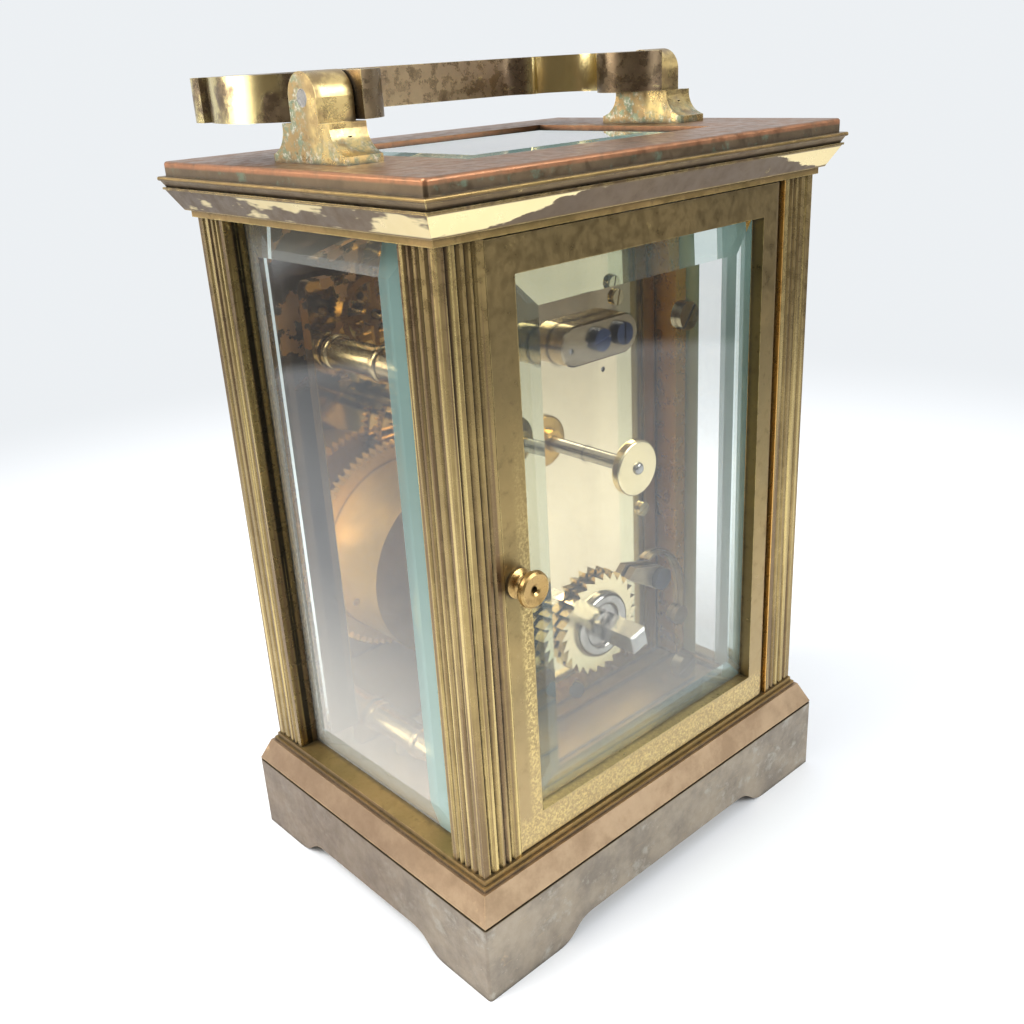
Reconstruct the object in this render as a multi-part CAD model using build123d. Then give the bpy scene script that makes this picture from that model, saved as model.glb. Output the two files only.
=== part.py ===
"""Carriage clock: a glazed brass case with a platform-escapement movement.

Millimetres. The origin is the centre of the plinth's underside, +Z is up, the dial faces -Y and the
rear door faces +Y.
"""
import os
from math import atan2, cos, hypot, pi, sin, sqrt

from build123d import *

# --- Case ---------------------------------------------------------------------------------------
BASE_X = 40.0           # half width of the plinth
BASE_Y = 30.16          # half depth of the plinth
FOOT_HEIGHT = 3.1
FOOT_X = 14.0           # length of a bracket foot along X and along Y
FOOT_Y = 10.4
OGEE_LENGTH = 7.8       # length of the curve from a foot up to the arch
PLINTH_SIDE_TOP = 13.0
PLINTH_SLOPE_TOP = 17.1
PLINTH_STEP_TOP = 17.7
PLATFORM_Z = 18.5       # the pillars stand here
FLOOR_Z = 17.5          # the movement stands here
CAVITY_X = 27.5         # half sizes of the pocket under the plinth
CAVITY_Y = 17.5
CAVITY_TOP = 11.5
SLOPE_INSET = 1.8
STEP_INSET = 2.3
PLATFORM_INSET = 2.74

PILLAR_INSET = 3.04
PILLAR_X = 7.2
PILLAR_Y = 6.9
PILLAR_TOP = 106.7
REED_LINES = (1.6, 3.2, 4.5, 5.6)   # grooves, measured in from the pillar's outer corner
REED_WIDTH = 0.75
REED_DEPTH = 0.42

CORNICE_STEP_Z = 107.7
CORNICE_FILLET_Z = 110.7    # top of the slanted face
CORNICE_COVE_Z = 111.0      # foot of the small cove under the lip
CORNICE_LIP_Z = 111.9
SLAB_BOTTOM = 112.5
SLAB_TOP = 114.5
LIP_OUTSET = 0.49
SLAB_INSET = 0.3

GLASS = 2.4             # thickness of a pane
GLASS_EDGE = 1.1        # thickness left at its bevelled edge
BEVEL = 5.0
SLOT_GAP = 0.06         # room beside a pane in its slot
SIDE_GLASS_X = 34.9     # outer face of the side panes
FRONT_GLASS_Y = 25.1    # outer face of the front pane, as a distance from the middle
PANE_OVERLAP = 1.4      # length of a pane's edge inside its slots
PANE_BOTTOM = PLATFORM_Z - PANE_OVERLAP
PANE_TOP = PILLAR_TOP + PANE_OVERLAP
TOP_GLASS_X = 23.5
TOP_GLASS_Y = 18.0
TOP_GLASS_FACE = 114.2
TOP_GLASS_LEDGE = 2.2
TOP_BEVEL = 6.4
TOP_GLASS_EDGE = 1.85

# --- Door ---------------------------------------------------------------------------------------
DOOR_X = 29.6           # half width
DOOR_BOTTOM = 18.8
DOOR_TOP = 106.4
DOOR_FRONT = 27.0
DOOR_THICK = 3.0
APERTURE_X = 25.0
APERTURE_BOTTOM = 23.7
APERTURE_TOP = 101.8
DOOR_GLASS_FACE = 25.8
DOOR_GLASS = 1.5
DOOR_GLASS_EDGE = 0.7
DOOR_GLASS_OVERLAP = 0.8
HINGE_PIN = 0.6         # radius
HINGE_DEPTH = 3.0
RUN_FIT = 0.04          # radial clearance of a turning fit
KNOB_X = 27.4
KNOB_Z = 61.8

# --- Handle and posts ---------------------------------------------------------------------------
PIVOT_Z = 122.3
HANDLE_THICK = 5.8
POST_OUTER = 34.4
POST_INNER = 28.8
POST_FOOT = 8.2         # half lengths of a post along Y, from the slab up
POST_SHOULDER = 5.3
POST_STEM = 3.1
POST_SHOULDER_Z = 119.3
PIVOT_PIN = 1.1

# --- Movement -----------------------------------------------------------------------------------
PLATE_X = 26.8
PLATE_TOP = 97.0
PLATE_THICK = 2.2
BACK_FACE = 13.0        # rear face of the back plate
FRONT_FACE = -17.0      # front face of the front plate
BACK_INNER = BACK_FACE - PLATE_THICK
FRONT_INNER = FRONT_FACE + PLATE_THICK
MOVEMENT_PILLAR_X = 23.2
MOVEMENT_PILLAR_Z = (21.8, 86.0)
MOVEMENT_PILLAR = 2.4

BARREL_AXIS = (0.0, 40.4)
CENTRE_AXIS = (0.0, 69.1)
GREAT_TEETH, GREAT_MODULE = 80, 0.5
BARREL_PINION = 10
INTER_TEETH, INTER_MODULE = 60, 0.4
CENTRE_PINION = 10
CENTRE_TEETH, CENTRE_MODULE = 64, 0.36
THIRD_PINION = 8
THIRD_TEETH, THIRD_MODULE = 60, 0.32
CONTRATE_PINION = 8
CROWN_TEETH = 60
CROWN_RADIUS = 6.4
ESCAPE_PINION = 6
CANNON_TEETH, CANNON_MODULE = 14, 0.30
MINUTE_TEETH = 42
MINUTE_PINION, HOUR_MODULE = 12, 0.28
HOUR_TEETH = 48

PLATFORM_LOW = PLATE_TOP
PLATFORM_THICK = 1.5
PLATFORM_HIGH = PLATFORM_LOW + PLATFORM_THICK
PLATFORM_X = 15.5
ESCAPE_TEETH = 15
ESCAPE_RADIUS = 4.2
ESCAPE_Z = (99.2, 99.7)
CYLINDER = 0.55         # radius of the cylinder on the balance staff
BALANCE_Z = (101.5, 102.3)
BALANCE_RADIUS = 7.4
HAIRSPRING_Z = (102.75, 103.0)
COCK_Z = (103.6, 104.8)
REGULATOR_Z = (104.8, 105.2)

DIAL_FACE = -20.2
DIAL_THICK = 1.1
DIAL_RADIUS = 22.5
MASK_THICK = 0.8
MASK_X = 29.4           # half width; the mask fills the front window
MASK_BOTTOM = PLATFORM_Z + 0.1
MASK_TOP = PILLAR_TOP - 0.3
HOUR_ANGLE = 305.0      # clockwise from twelve, at rest
MINUTE_ANGLE = 60.0


def apart(axis, near, far, side):
    """Return the point near + far from two axes: `near` from the first pair, on the given side."""
    (ax, az), (bx, bz) = axis
    gap = hypot(bx - ax, bz - az)
    along = (near**2 - far**2 + gap**2) / (2 * gap)
    off = side * sqrt(near**2 - along**2)
    ux, uz = (bx - ax) / gap, (bz - az) / gap
    return ax + along * ux + off * uz, az + along * uz - off * ux


def mesh_distance(module, wheel, pinion):
    """Centre distance of a wheel and a pinion."""
    return module * (wheel + pinion) / 2


INTER_AXIS = apart(
    (BARREL_AXIS, CENTRE_AXIS),
    mesh_distance(GREAT_MODULE, GREAT_TEETH, BARREL_PINION),
    mesh_distance(INTER_MODULE, INTER_TEETH, CENTRE_PINION),
    side=-1,
)
THIRD_REACH = mesh_distance(CENTRE_MODULE, CENTRE_TEETH, THIRD_PINION)
THIRD_X = -4.0
THIRD_AXIS = (THIRD_X, CENTRE_AXIS[1] + sqrt(THIRD_REACH**2 - THIRD_X**2))
CONTRATE_Z = 86.6
CONTRATE_REACH = mesh_distance(THIRD_MODULE, THIRD_TEETH, CONTRATE_PINION)
CONTRATE_AXIS = (
    THIRD_X + sqrt(CONTRATE_REACH**2 - (CONTRATE_Z - THIRD_AXIS[1]) ** 2),
    CONTRATE_Z,
)
CROWN_PITCH = 2 * pi * CROWN_RADIUS / CROWN_TEETH
ESCAPE_PITCH_RADIUS = ESCAPE_PINION * CROWN_PITCH / (2 * pi)
CROWN_LINE = 0.70       # pitch line of the crown teeth, along Y
ESCAPE_AXIS = (CONTRATE_AXIS[0], CROWN_LINE + ESCAPE_PITCH_RADIUS)
BALANCE_AXIS = (ESCAPE_AXIS[0] - ESCAPE_RADIUS - CYLINDER - 0.15, ESCAPE_AXIS[1])
MINUTE_REACH = mesh_distance(CANNON_MODULE, CANNON_TEETH, MINUTE_TEETH)
MINUTE_AXIS = (
    CENTRE_AXIS[0] + MINUTE_REACH * cos(pi / 4),
    CENTRE_AXIS[1] - MINUTE_REACH * sin(pi / 4),
)

WIND_END = 23.4
WIND_SQUARE = 3.3
SETTING_END = 23.8
CENTRE_ARBOR = 0.9
WINDING_ARBOR = 2.0
ARBOR = 0.8             # radius of a train arbor
PIVOT = 0.4             # radius of its pivots
PIVOT_LENGTH = 2.0
SHAKE = 0.1             # end play of an arbor

GREAT_Y = (5.0, 6.8)    # planes of the wheels, front to rear
DRUM_FRONT = -9.5
DRUM_RADIUS = 17.0
DRUM_WALL = 1.0
COVER_THICK = 1.0
INTER_Y = (8.2, 9.3)
CENTRE_Y = (-14.1, -13.3)
THIRD_Y = (4.0, 4.8)
CROWN_Y = (-1.2, -0.35)
RATCHET_Y = (13.3, 14.8)
RATCHET_RADIUS = 8.7
RATCHET_TEETH = 26
RATCHET_DEPTH = 1.25
KEEPER_Y = (RATCHET_Y[1], RATCHET_Y[1] + 1.1)
CLICK_AXIS = (-14.6, 43.2)


# --- Helpers ------------------------------------------------------------------------------------
def block(x0, x1, y0, y1, z0, z1):
    """Box between two corners."""
    centre = ((x0 + x1) / 2, (y0 + y1) / 2, (z0 + z1) / 2)
    return Pos(*centre) * Box(abs(x1 - x0), abs(y1 - y0), abs(z1 - z0))


def stage(half_x, half_y, z0, z1):
    """Rectangular prism centred on the clock's vertical axis."""
    return block(-half_x, half_x, -half_y, half_y, z0, z1)


def slope(low, high, z0, z1):
    """Frustum between two centred rectangles, given as half sizes."""
    bottom = Pos(0, 0, z0) * Rectangle(2 * low[0], 2 * low[1])
    top = Pos(0, 0, z1) * Rectangle(2 * high[0], 2 * high[1])
    return loft([bottom, top])


def case_half(inset):
    """Half sizes of the case at an inset from the plinth's side."""
    return BASE_X - inset, BASE_Y - inset


def along_y(shape, axis, y=0.0):
    """Turn a shape drawn about Z so that its axis runs along Y through an (x, z) point."""
    return Pos(axis[0], y, axis[1]) * Rot(90, 0, 0) * shape


def disc_y(axis, radius, y0, y1):
    """Cylinder along Y."""
    return along_y(Cylinder(radius, abs(y1 - y0)), axis, (y0 + y1) / 2)


def disc_x(y, z, radius, x0, x1):
    """Cylinder along X."""
    return Pos((x0 + x1) / 2, y, z) * Rot(0, 90, 0) * Cylinder(radius, abs(x1 - x0))


def disc_z(axis, radius, z0, z1):
    """Cylinder along Z through an (x, y) point."""
    return Pos(axis[0], axis[1], (z0 + z1) / 2) * Cylinder(radius, abs(z1 - z0))


def xz_plate(outline, y0, y1):
    """Extrude an outline of (x, z) from y0 to y1."""
    face = make_face(outline)
    return Pos(0, max(y0, y1), 0) * Rot(90, 0, 0) * extrude(face, abs(y1 - y0))


def corners():
    """Signs of the four corners."""
    return [(sx, sy) for sx in (-1, 1) for sy in (-1, 1)]


def group(shapes):
    """Several separate solids as one node."""
    return Compound(children=[solid for shape in shapes for solid in shape.solids()])


def polygon(points):
    """Closed outline through points."""
    return Polyline(*points, close=True)


def tooth_outline(teeth, module, phase=0.0, share=0.34, tip_share=0.16, root=1.25, tip=0.9):
    """Closed outline of a gear with narrow clock teeth; `phase` is the angle of one tooth."""
    pitch_radius = module * teeth / 2
    root_radius = pitch_radius - root * module
    tip_radius = pitch_radius + tip * module
    step = 2 * pi / teeth
    points = []
    for index in range(teeth):
        middle = phase + index * step
        for radius, offset in (
            (root_radius, -share * step * 0.62),
            (pitch_radius, -share * step / 2),
            (tip_radius, -tip_share * step / 2),
            (tip_radius, tip_share * step / 2),
            (pitch_radius, share * step / 2),
            (root_radius, share * step * 0.62),
        ):
            angle = middle + offset
            points.append((radius * cos(angle), radius * sin(angle)))
    return polygon(points)


def gear_y(axis, teeth, module, y0, y1, phase=0.0):
    """Gear with its axis along Y; `phase` is measured from +X towards +Z."""
    return Pos(axis[0], 0, axis[1]) * xz_plate(tooth_outline(teeth, module, phase), y0, y1)


def direction(start, end):
    """Angle from one (x, z) point to another."""
    return atan2(end[1] - start[1], end[0] - start[0])


def facing_phase(pinion_teeth, angle):
    """Phase that puts a gap of the pinion opposite a wheel tooth that points along `angle`."""
    return angle + pi + pi / pinion_teeth


def crossed_wheel(axis, teeth, module, y0, y1, phase, bore, arms=5):
    """Wheel with a toothed rim, a hub and straight arms."""
    wheel = gear_y(axis, teeth, module, y0, y1, phase)
    rim_inner = module * teeth / 2 - 2.2 * max(module, 0.36)
    hub = 2.6
    window = disc_y(axis, rim_inner, y0, y1) - disc_y(axis, hub, y0, y1)
    for index in range(arms):
        arm = block(0, rim_inner, y0, y1, -0.6, 0.6)
        window -= Pos(axis[0], 0, axis[1]) * Rot(0, -360 * index / arms, 0) * arm
    return wheel - window - disc_y(axis, bore, y0, y1)


def pivoted_arbor(axis, y0, y1, radius=ARBOR):
    """Arbor with a small pivot at each end, fitting the two plates."""
    body = disc_y(axis, radius, y0, y1)
    front = disc_y(axis, PIVOT, y0 - PIVOT_LENGTH, y0)
    rear = disc_y(axis, PIVOT, y1, y1 + PIVOT_LENGTH)
    return body + front + rear


def slotted_screw_y(axis, head, shank, y_seat, head_height, reach, turn=0.0, way=1):
    """Cheese-head screw along Y. `way` is the side its head faces."""
    top = y_seat + way * head_height
    screw = disc_y(axis, head, y_seat, top)
    screw += disc_y(axis, shank, y_seat, y_seat - way * reach)
    slot_bottom = top - way * head_height * 0.45
    slot = block(-head, head, min(slot_bottom, top), max(slot_bottom, top), -head * 0.11, head * 0.11)
    return screw - Pos(axis[0], 0, axis[1]) * Rot(0, turn, 0) * slot


def slotted_screw_z(axis, head, shank, z_seat, head_height, reach, turn=0.0, way=1):
    """Cheese-head screw along Z. `way` is the side its head faces."""
    top = z_seat + way * head_height
    screw = disc_z(axis, head, z_seat, top)
    screw += disc_z(axis, shank, z_seat, z_seat - way * reach)
    slot_bottom = top - way * head_height * 0.45
    slot = block(-head, head, -head * 0.11, head * 0.11, min(slot_bottom, top), max(slot_bottom, top))
    return screw - Pos(axis[0], axis[1], 0) * Rot(0, 0, turn) * slot


def bevelled_pane(width, height, bevel=BEVEL, tongue=0.0, thick=GLASS, edge=GLASS_EDGE):
    """Pane in the XY plane, its bevelled outer face up at z = 0, with a thin tongue round it."""
    sheet = Pos(0, 0, -thick) * Rectangle(width, height)
    shoulder = Pos(0, 0, edge - thick) * Rectangle(width - 2 * tongue, height - 2 * tongue)
    face = Rectangle(width - 2 * (bevel + tongue), height - 2 * (bevel + tongue))
    return extrude(sheet, edge) + loft([shoulder, face])


# --- Plinth -------------------------------------------------------------------------------------
PILLAR_CENTRE_X = BASE_X - PILLAR_INSET - PILLAR_X / 2
PILLAR_CENTRE_Y = BASE_Y - PILLAR_INSET - PILLAR_Y / 2
PILLAR_SCREW = 1.3
MOVEMENT_SCREW = 1.2
POST_SCREW = 0.98
POST_SCREW_SEAT = 110.5
PLINTH_FASTENER_HEAD = 2.4
MOVEMENT_SCREWS = [(sx * MOVEMENT_PILLAR_X, y) for sx in (-1, 1) for y in (-8.0, 4.0)]
BOTTOM_PLATE_MARGIN = 3.0
BOTTOM_PLATE_THICK = 1.2


def arch(half_length, foot):
    """Profile, in (u, z), of the space between two bracket feet."""
    end = half_length - foot
    crown = end - OGEE_LENGTH
    rise = FOOT_HEIGHT
    lead = OGEE_LENGTH * 0.55
    left = Bezier((-end, 0), (-end + lead, 0.2), (-end + lead * 0.8, rise), (-crown, rise))
    right = Bezier((crown, rise), (end - lead * 0.8, rise), (end - lead, 0.2), (end, 0))
    return left + Line((-crown, rise), (crown, rise)) + right + Line((end, 0), (-end, 0))


def pane_slots():
    """Grooves in the pillars, plinth and cornice that hold the side and front panes."""
    side_x = SIDE_GLASS_X - GLASS
    front_y = FRONT_GLASS_Y - GLASS
    reach_y = BASE_Y - PILLAR_INSET - PILLAR_Y + PANE_OVERLAP + SLOT_GAP
    reach_x = BASE_X - PILLAR_INSET - PILLAR_X + PANE_OVERLAP + SLOT_GAP
    low, high = PANE_BOTTOM - SLOT_GAP, PANE_TOP + SLOT_GAP
    near, far = -SLOT_GAP, GLASS_EDGE + SLOT_GAP
    slots = [block(s * (side_x + near), s * (side_x + far), -reach_y, reach_y, low, high) for s in (-1, 1)]
    slots.append(block(-reach_x, reach_x, -front_y - near, -front_y - far, low, high))
    return slots


def plinth():
    side = stage(*case_half(0), 0, PLINTH_SIDE_TOP)
    xz_arch = xz_plate(arch(BASE_X, FOOT_X), -BASE_Y, BASE_Y)
    yz_arch = Rot(0, 0, 90) * xz_plate(arch(BASE_Y, FOOT_Y), -BASE_X, BASE_X)
    body = side - xz_arch - yz_arch
    body = fillet(body.edges().filter_by(Axis.Z).group_by(Axis.Z)[-1], 0.5)
    groove = stage(*case_half(0.3), PLINTH_SIDE_TOP, PLINTH_SIDE_TOP + 0.3)
    body += groove
    body += slope(case_half(0.1), case_half(SLOPE_INSET), PLINTH_SIDE_TOP + 0.3, PLINTH_SLOPE_TOP)
    body += stage(*case_half(STEP_INSET), PLINTH_SLOPE_TOP, PLINTH_STEP_TOP)
    body += stage(*case_half(PLATFORM_INSET), PLINTH_STEP_TOP, PLATFORM_Z)
    floor_x = SIDE_GLASS_X - GLASS - 1.2
    floor_y = FRONT_GLASS_Y - GLASS - 1.2
    body -= block(-floor_x, floor_x, -floor_y, floor_y, FLOOR_Z, PLATFORM_Z)
    body -= stage(CAVITY_X, CAVITY_Y, 0, CAVITY_TOP)
    plate_x, plate_y = CAVITY_X + BOTTOM_PLATE_MARGIN, CAVITY_Y + BOTTOM_PLATE_MARGIN
    body -= stage(plate_x + 0.1, plate_y + 0.1, 0, FOOT_HEIGHT + BOTTOM_PLATE_THICK)
    for slot in pane_slots():
        body -= slot
    for spot in MOVEMENT_SCREWS:
        body -= disc_z(spot, MOVEMENT_SCREW, CAVITY_TOP, FLOOR_Z)
    for sx, sy in corners():
        spot = (sx * PILLAR_CENTRE_X, sy * PILLAR_CENTRE_Y)
        body -= disc_z(spot, PILLAR_SCREW, FOOT_HEIGHT, PLATFORM_Z)
        body -= disc_z(spot, PLINTH_FASTENER_HEAD + 0.15, 0, 4.6)
    for x, y in bottom_plate_screw_spots():
        body -= disc_z((x, y), 0.8, FOOT_HEIGHT, FOOT_HEIGHT + 5.4)
    body -= hinge_pin(bottom=True)
    return body


def bottom_plate_screw_spots():
    """Places of the bottom plate's screws."""
    margin = BOTTOM_PLATE_MARGIN / 2
    return [(sx * (CAVITY_X + margin), sy * (CAVITY_Y + margin)) for sx, sy in corners()]


def bottom_plate():
    half_x, half_y = CAVITY_X + BOTTOM_PLATE_MARGIN, CAVITY_Y + BOTTOM_PLATE_MARGIN
    plate = stage(half_x, half_y, FOOT_HEIGHT, FOOT_HEIGHT + BOTTOM_PLATE_THICK)
    for spot in bottom_plate_screw_spots():
        plate -= disc_z(spot, 0.9, FOOT_HEIGHT, FOOT_HEIGHT + BOTTOM_PLATE_THICK)
    return plate


def bottom_plate_screws():
    spots = enumerate(bottom_plate_screw_spots())
    return group([slotted_screw_z(p, 1.6, 0.78, FOOT_HEIGHT, 0.9, 5.2, 37 * i, way=-1) for i, p in spots])


def pillar_screws():
    screws = []
    for index, (sx, sy) in enumerate(corners()):
        spot = (sx * PILLAR_CENTRE_X, sy * PILLAR_CENTRE_Y)
        size = (PLINTH_FASTENER_HEAD, 1.28, 4.6, 1.4, 20.0)
        screws.append(slotted_screw_z(spot, *size, 53 * index, way=-1))
    return group(screws)


# --- Pillars and cornice ------------------------------------------------------------------------
def pillar(sx, sy):
    outer_x, outer_y = BASE_X - PILLAR_INSET, BASE_Y - PILLAR_INSET
    body = block(outer_x - PILLAR_X, outer_x, outer_y - PILLAR_Y, outer_y, PLATFORM_Z, PILLAR_TOP)
    half = REED_WIDTH / 2
    for line in REED_LINES:
        on_y_face = polygon([(line - half, 0), (line + half, 0), (line, REED_DEPTH)])
        groove = extrude(make_face(on_y_face), PILLAR_TOP - PLATFORM_Z)
        body -= Pos(outer_x, outer_y, PLATFORM_Z) * Rot(0, 0, 180) * groove
        on_x_face = polygon([(0, line - half), (0, line + half), (REED_DEPTH, line)])
        groove = extrude(make_face(on_x_face), PILLAR_TOP - PLATFORM_Z)
        body -= Pos(outer_x, outer_y, PLATFORM_Z) * Rot(0, 0, 180) * groove
    body = body if sx > 0 else mirror(body, Plane.YZ)
    body = body if sy > 0 else mirror(body, Plane.XZ)
    for slot in pane_slots():
        body -= slot
    spot = (sx * PILLAR_CENTRE_X, sy * PILLAR_CENTRE_Y)
    return body - disc_z(spot, PILLAR_SCREW, PLATFORM_Z, 25.0)


def corner_pillars():
    return group([pillar(sx, sy) for sx, sy in corners()])


def cornice():
    body = stage(*case_half(2.46), PILLAR_TOP, CORNICE_STEP_Z)
    body += slope(case_half(SLOPE_INSET), case_half(0.1), CORNICE_STEP_Z, CORNICE_FILLET_Z)
    body += stage(*case_half(-0.1), CORNICE_FILLET_Z, CORNICE_COVE_Z)
    body += slope(case_half(0.3), case_half(-0.2), CORNICE_COVE_Z, CORNICE_LIP_Z)
    lip = stage(*case_half(-LIP_OUTSET), CORNICE_LIP_Z, SLAB_BOTTOM)
    body += fillet(lip.edges().group_by(Axis.Z)[0] + lip.edges().group_by(Axis.Z)[-1], 0.22)
    slab = stage(*case_half(SLAB_INSET), SLAB_BOTTOM, SLAB_TOP)
    slab = fillet(slab.edges().filter_by(Axis.Z), 0.6)
    body += fillet(slab.edges().group_by(Axis.Z)[-1], 0.45)
    opening = (TOP_GLASS_X - TOP_GLASS_LEDGE, TOP_GLASS_Y - TOP_GLASS_LEDGE)
    body -= stage(*opening, PILLAR_TOP, SLAB_TOP)
    body -= slope((26.5, 20.0), opening, PILLAR_TOP, SLAB_BOTTOM - 0.6)
    body -= stage(TOP_GLASS_X + SLOT_GAP, TOP_GLASS_Y + SLOT_GAP, TOP_GLASS_FACE - GLASS, SLAB_TOP)
    for slot in pane_slots():
        body -= slot
    for x, y in post_screw_spots():
        body -= disc_z((x, y), POST_SCREW, POST_SCREW_SEAT, SLAB_TOP)
        body -= disc_z((x, y), 1.9, PILLAR_TOP, POST_SCREW_SEAT)
    return body - hinge_pin(bottom=False)


def top_glass():
    pane = bevelled_pane(2 * TOP_GLASS_X, 2 * TOP_GLASS_Y, TOP_BEVEL, edge=TOP_GLASS_EDGE)
    return Pos(0, 0, TOP_GLASS_FACE) * pane


def pane_height():
    return PANE_TOP - PANE_BOTTOM


def side_glass(side):
    width = 2 * (BASE_Y - PILLAR_INSET - PILLAR_Y + PANE_OVERLAP)
    pane = bevelled_pane(width, pane_height(), tongue=PANE_OVERLAP + SLOT_GAP)
    pane = Pos(SIDE_GLASS_X, 0, (PANE_TOP + PANE_BOTTOM) / 2) * Rot(0, 0, 90) * Rot(90, 0, 0) * pane
    return pane if side > 0 else mirror(pane, Plane.YZ)


def side_glasses():
    return group([side_glass(-1), side_glass(1)])


def front_glass():
    width = 2 * (BASE_X - PILLAR_INSET - PILLAR_X + PANE_OVERLAP)
    pane = Rot(90, 0, 0) * bevelled_pane(width, pane_height(), tongue=PANE_OVERLAP + SLOT_GAP)
    return Pos(0, -FRONT_GLASS_Y, (PANE_TOP + PANE_BOTTOM) / 2) * pane


# --- Rear door ----------------------------------------------------------------------------------
HINGE_X = -(DOOR_X - DOOR_THICK / 2)
HINGE_Y = DOOR_FRONT - DOOR_THICK / 2
PIN_LENGTH = 5.6


def hinge_pin(bottom):
    """Pin that stands in the plinth or hangs from the cornice and enters the door's stile."""
    end = DOOR_BOTTOM + HINGE_DEPTH - 0.2 if bottom else DOOR_TOP - HINGE_DEPTH + 0.2
    other = end - PIN_LENGTH if bottom else end + PIN_LENGTH
    return disc_z((HINGE_X, HINGE_Y), HINGE_PIN, min(end, other), max(end, other))


def door_hinge_pins():
    return group([hinge_pin(bottom=True), hinge_pin(bottom=False)])


def door_frame():
    rear = DOOR_FRONT - DOOR_THICK
    body = block(HINGE_X, DOOR_X, rear, DOOR_FRONT, DOOR_BOTTOM, DOOR_TOP)
    body += disc_z((HINGE_X, HINGE_Y), DOOR_THICK / 2, DOOR_BOTTOM, DOOR_TOP)
    body -= block(-APERTURE_X, APERTURE_X, rear, DOOR_FRONT, APERTURE_BOTTOM, APERTURE_TOP)
    ledge = DOOR_GLASS_FACE - DOOR_GLASS + DOOR_GLASS_EDGE + SLOT_GAP
    room = DOOR_GLASS_OVERLAP + SLOT_GAP
    room_x = APERTURE_X + room
    body -= block(-room_x, room_x, rear, ledge, APERTURE_BOTTOM - room, APERTURE_TOP + room)
    bore = HINGE_PIN + RUN_FIT
    body -= disc_z((HINGE_X, HINGE_Y), bore, DOOR_BOTTOM, DOOR_BOTTOM + HINGE_DEPTH)
    body -= disc_z((HINGE_X, HINGE_Y), bore, DOOR_TOP - HINGE_DEPTH, DOOR_TOP)
    return body - disc_y((KNOB_X, KNOB_Z), 0.7, rear, DOOR_FRONT)


def door_glass():
    height = APERTURE_TOP - APERTURE_BOTTOM + 2 * DOOR_GLASS_OVERLAP
    width = 2 * (APERTURE_X + DOOR_GLASS_OVERLAP)
    tongue = DOOR_GLASS_OVERLAP + SLOT_GAP
    pane = bevelled_pane(width, height, 4.7, tongue, DOOR_GLASS, DOOR_GLASS_EDGE)
    return Pos(0, DOOR_GLASS_FACE, (APERTURE_BOTTOM + APERTURE_TOP) / 2) * Rot(-90, 0, 0) * pane


def door_knob():
    """Turned pull with a flange, a waist and a dished head, drawn about Y from its stem."""
    outline = Polyline(
        (0, -DOOR_THICK),
        (0.68, -DOOR_THICK),
        (0.68, 0),
        (2.1, 0),
        (2.1, 0.45),
        (1.5, 0.8),
    )
    waist = ThreePointArc((1.5, 0.8), (1.0, 1.6), (1.7, 2.3))
    head = Polyline(
        (1.7, 2.3),
        (2.45, 2.55),
        (2.6, 2.9),
        (2.5, 3.35),
        (2.2, 3.6),
        (0.9, 3.45),
        (0.5, 3.2),
        (0.5, 2.6),
    )
    close = Polyline((0.5, 2.6), (0, 2.6), (0, -DOOR_THICK))
    profile = make_face(outline + waist + head + close)
    turned = revolve(Rot(90, 0, 0) * profile, Axis.Z)
    return Pos(KNOB_X, DOOR_FRONT, KNOB_Z) * Rot(-90, 0, 0) * turned


# --- Handle -------------------------------------------------------------------------------------
LOBE_CENTRE = (28.4, 1.1)
LOBE_RADIUS = 5.8
LOBE_FACE = POST_INNER - 0.3
GRIP_OUTER = 27.0       # the grip's outer and inner edges, from the pivot
GRIP_INNER = 22.2


def post_screw_spots():
    middle = (POST_OUTER + POST_INNER) / 2
    return [(sx * middle, y) for sx in (-1, 1) for y in (-4.6, 4.6)]


def handle_post(side):
    """Stepped post: an ogee foot under a narrow stem with a round top."""
    shoulder = POST_SHOULDER_Z
    foot_top = SLAB_TOP + 1.0
    right = [
        Line((POST_FOOT, SLAB_TOP), (POST_FOOT, foot_top)),
        Bezier(
            (POST_FOOT, foot_top),
            (POST_SHOULDER + 0.9, foot_top + 0.5),
            (POST_SHOULDER + 0.1, shoulder - 1.9),
            (POST_SHOULDER, shoulder - 0.7),
        ),
        Line((POST_SHOULDER, shoulder - 0.7), (POST_SHOULDER, shoulder)),
        Line((POST_SHOULDER, shoulder), (POST_STEM, shoulder)),
        Line((POST_STEM, shoulder), (POST_STEM, PIVOT_Z)),
    ]
    left = [mirror(edge, Plane.YZ) for edge in right]
    crown = ThreePointArc((POST_STEM, PIVOT_Z), (0, PIVOT_Z + POST_STEM), (-POST_STEM, PIVOT_Z))
    sill = Line((-POST_FOOT, SLAB_TOP), (POST_FOOT, SLAB_TOP))
    body = Rot(0, 0, 90) * xz_plate(right + left + [crown, sill], -POST_OUTER, -POST_INNER)
    for x, y in post_screw_spots():
        body -= disc_z((abs(x), y), POST_SCREW, SLAB_TOP, POST_SCREW_SEAT + 7.2)
    body -= disc_x(0, PIVOT_Z, PIVOT_PIN, POST_INNER, POST_OUTER)
    return body if side > 0 else mirror(body, Plane.YZ)


def handle_posts():
    return group([handle_post(-1), handle_post(1)])


def handle_post_screws():
    spots = enumerate(post_screw_spots())
    seat = POST_SCREW_SEAT
    return group([slotted_screw_z(p, 1.8, POST_SCREW, seat, 1.2, 7.0, 41 * i, way=-1) for i, p in spots])


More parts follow.
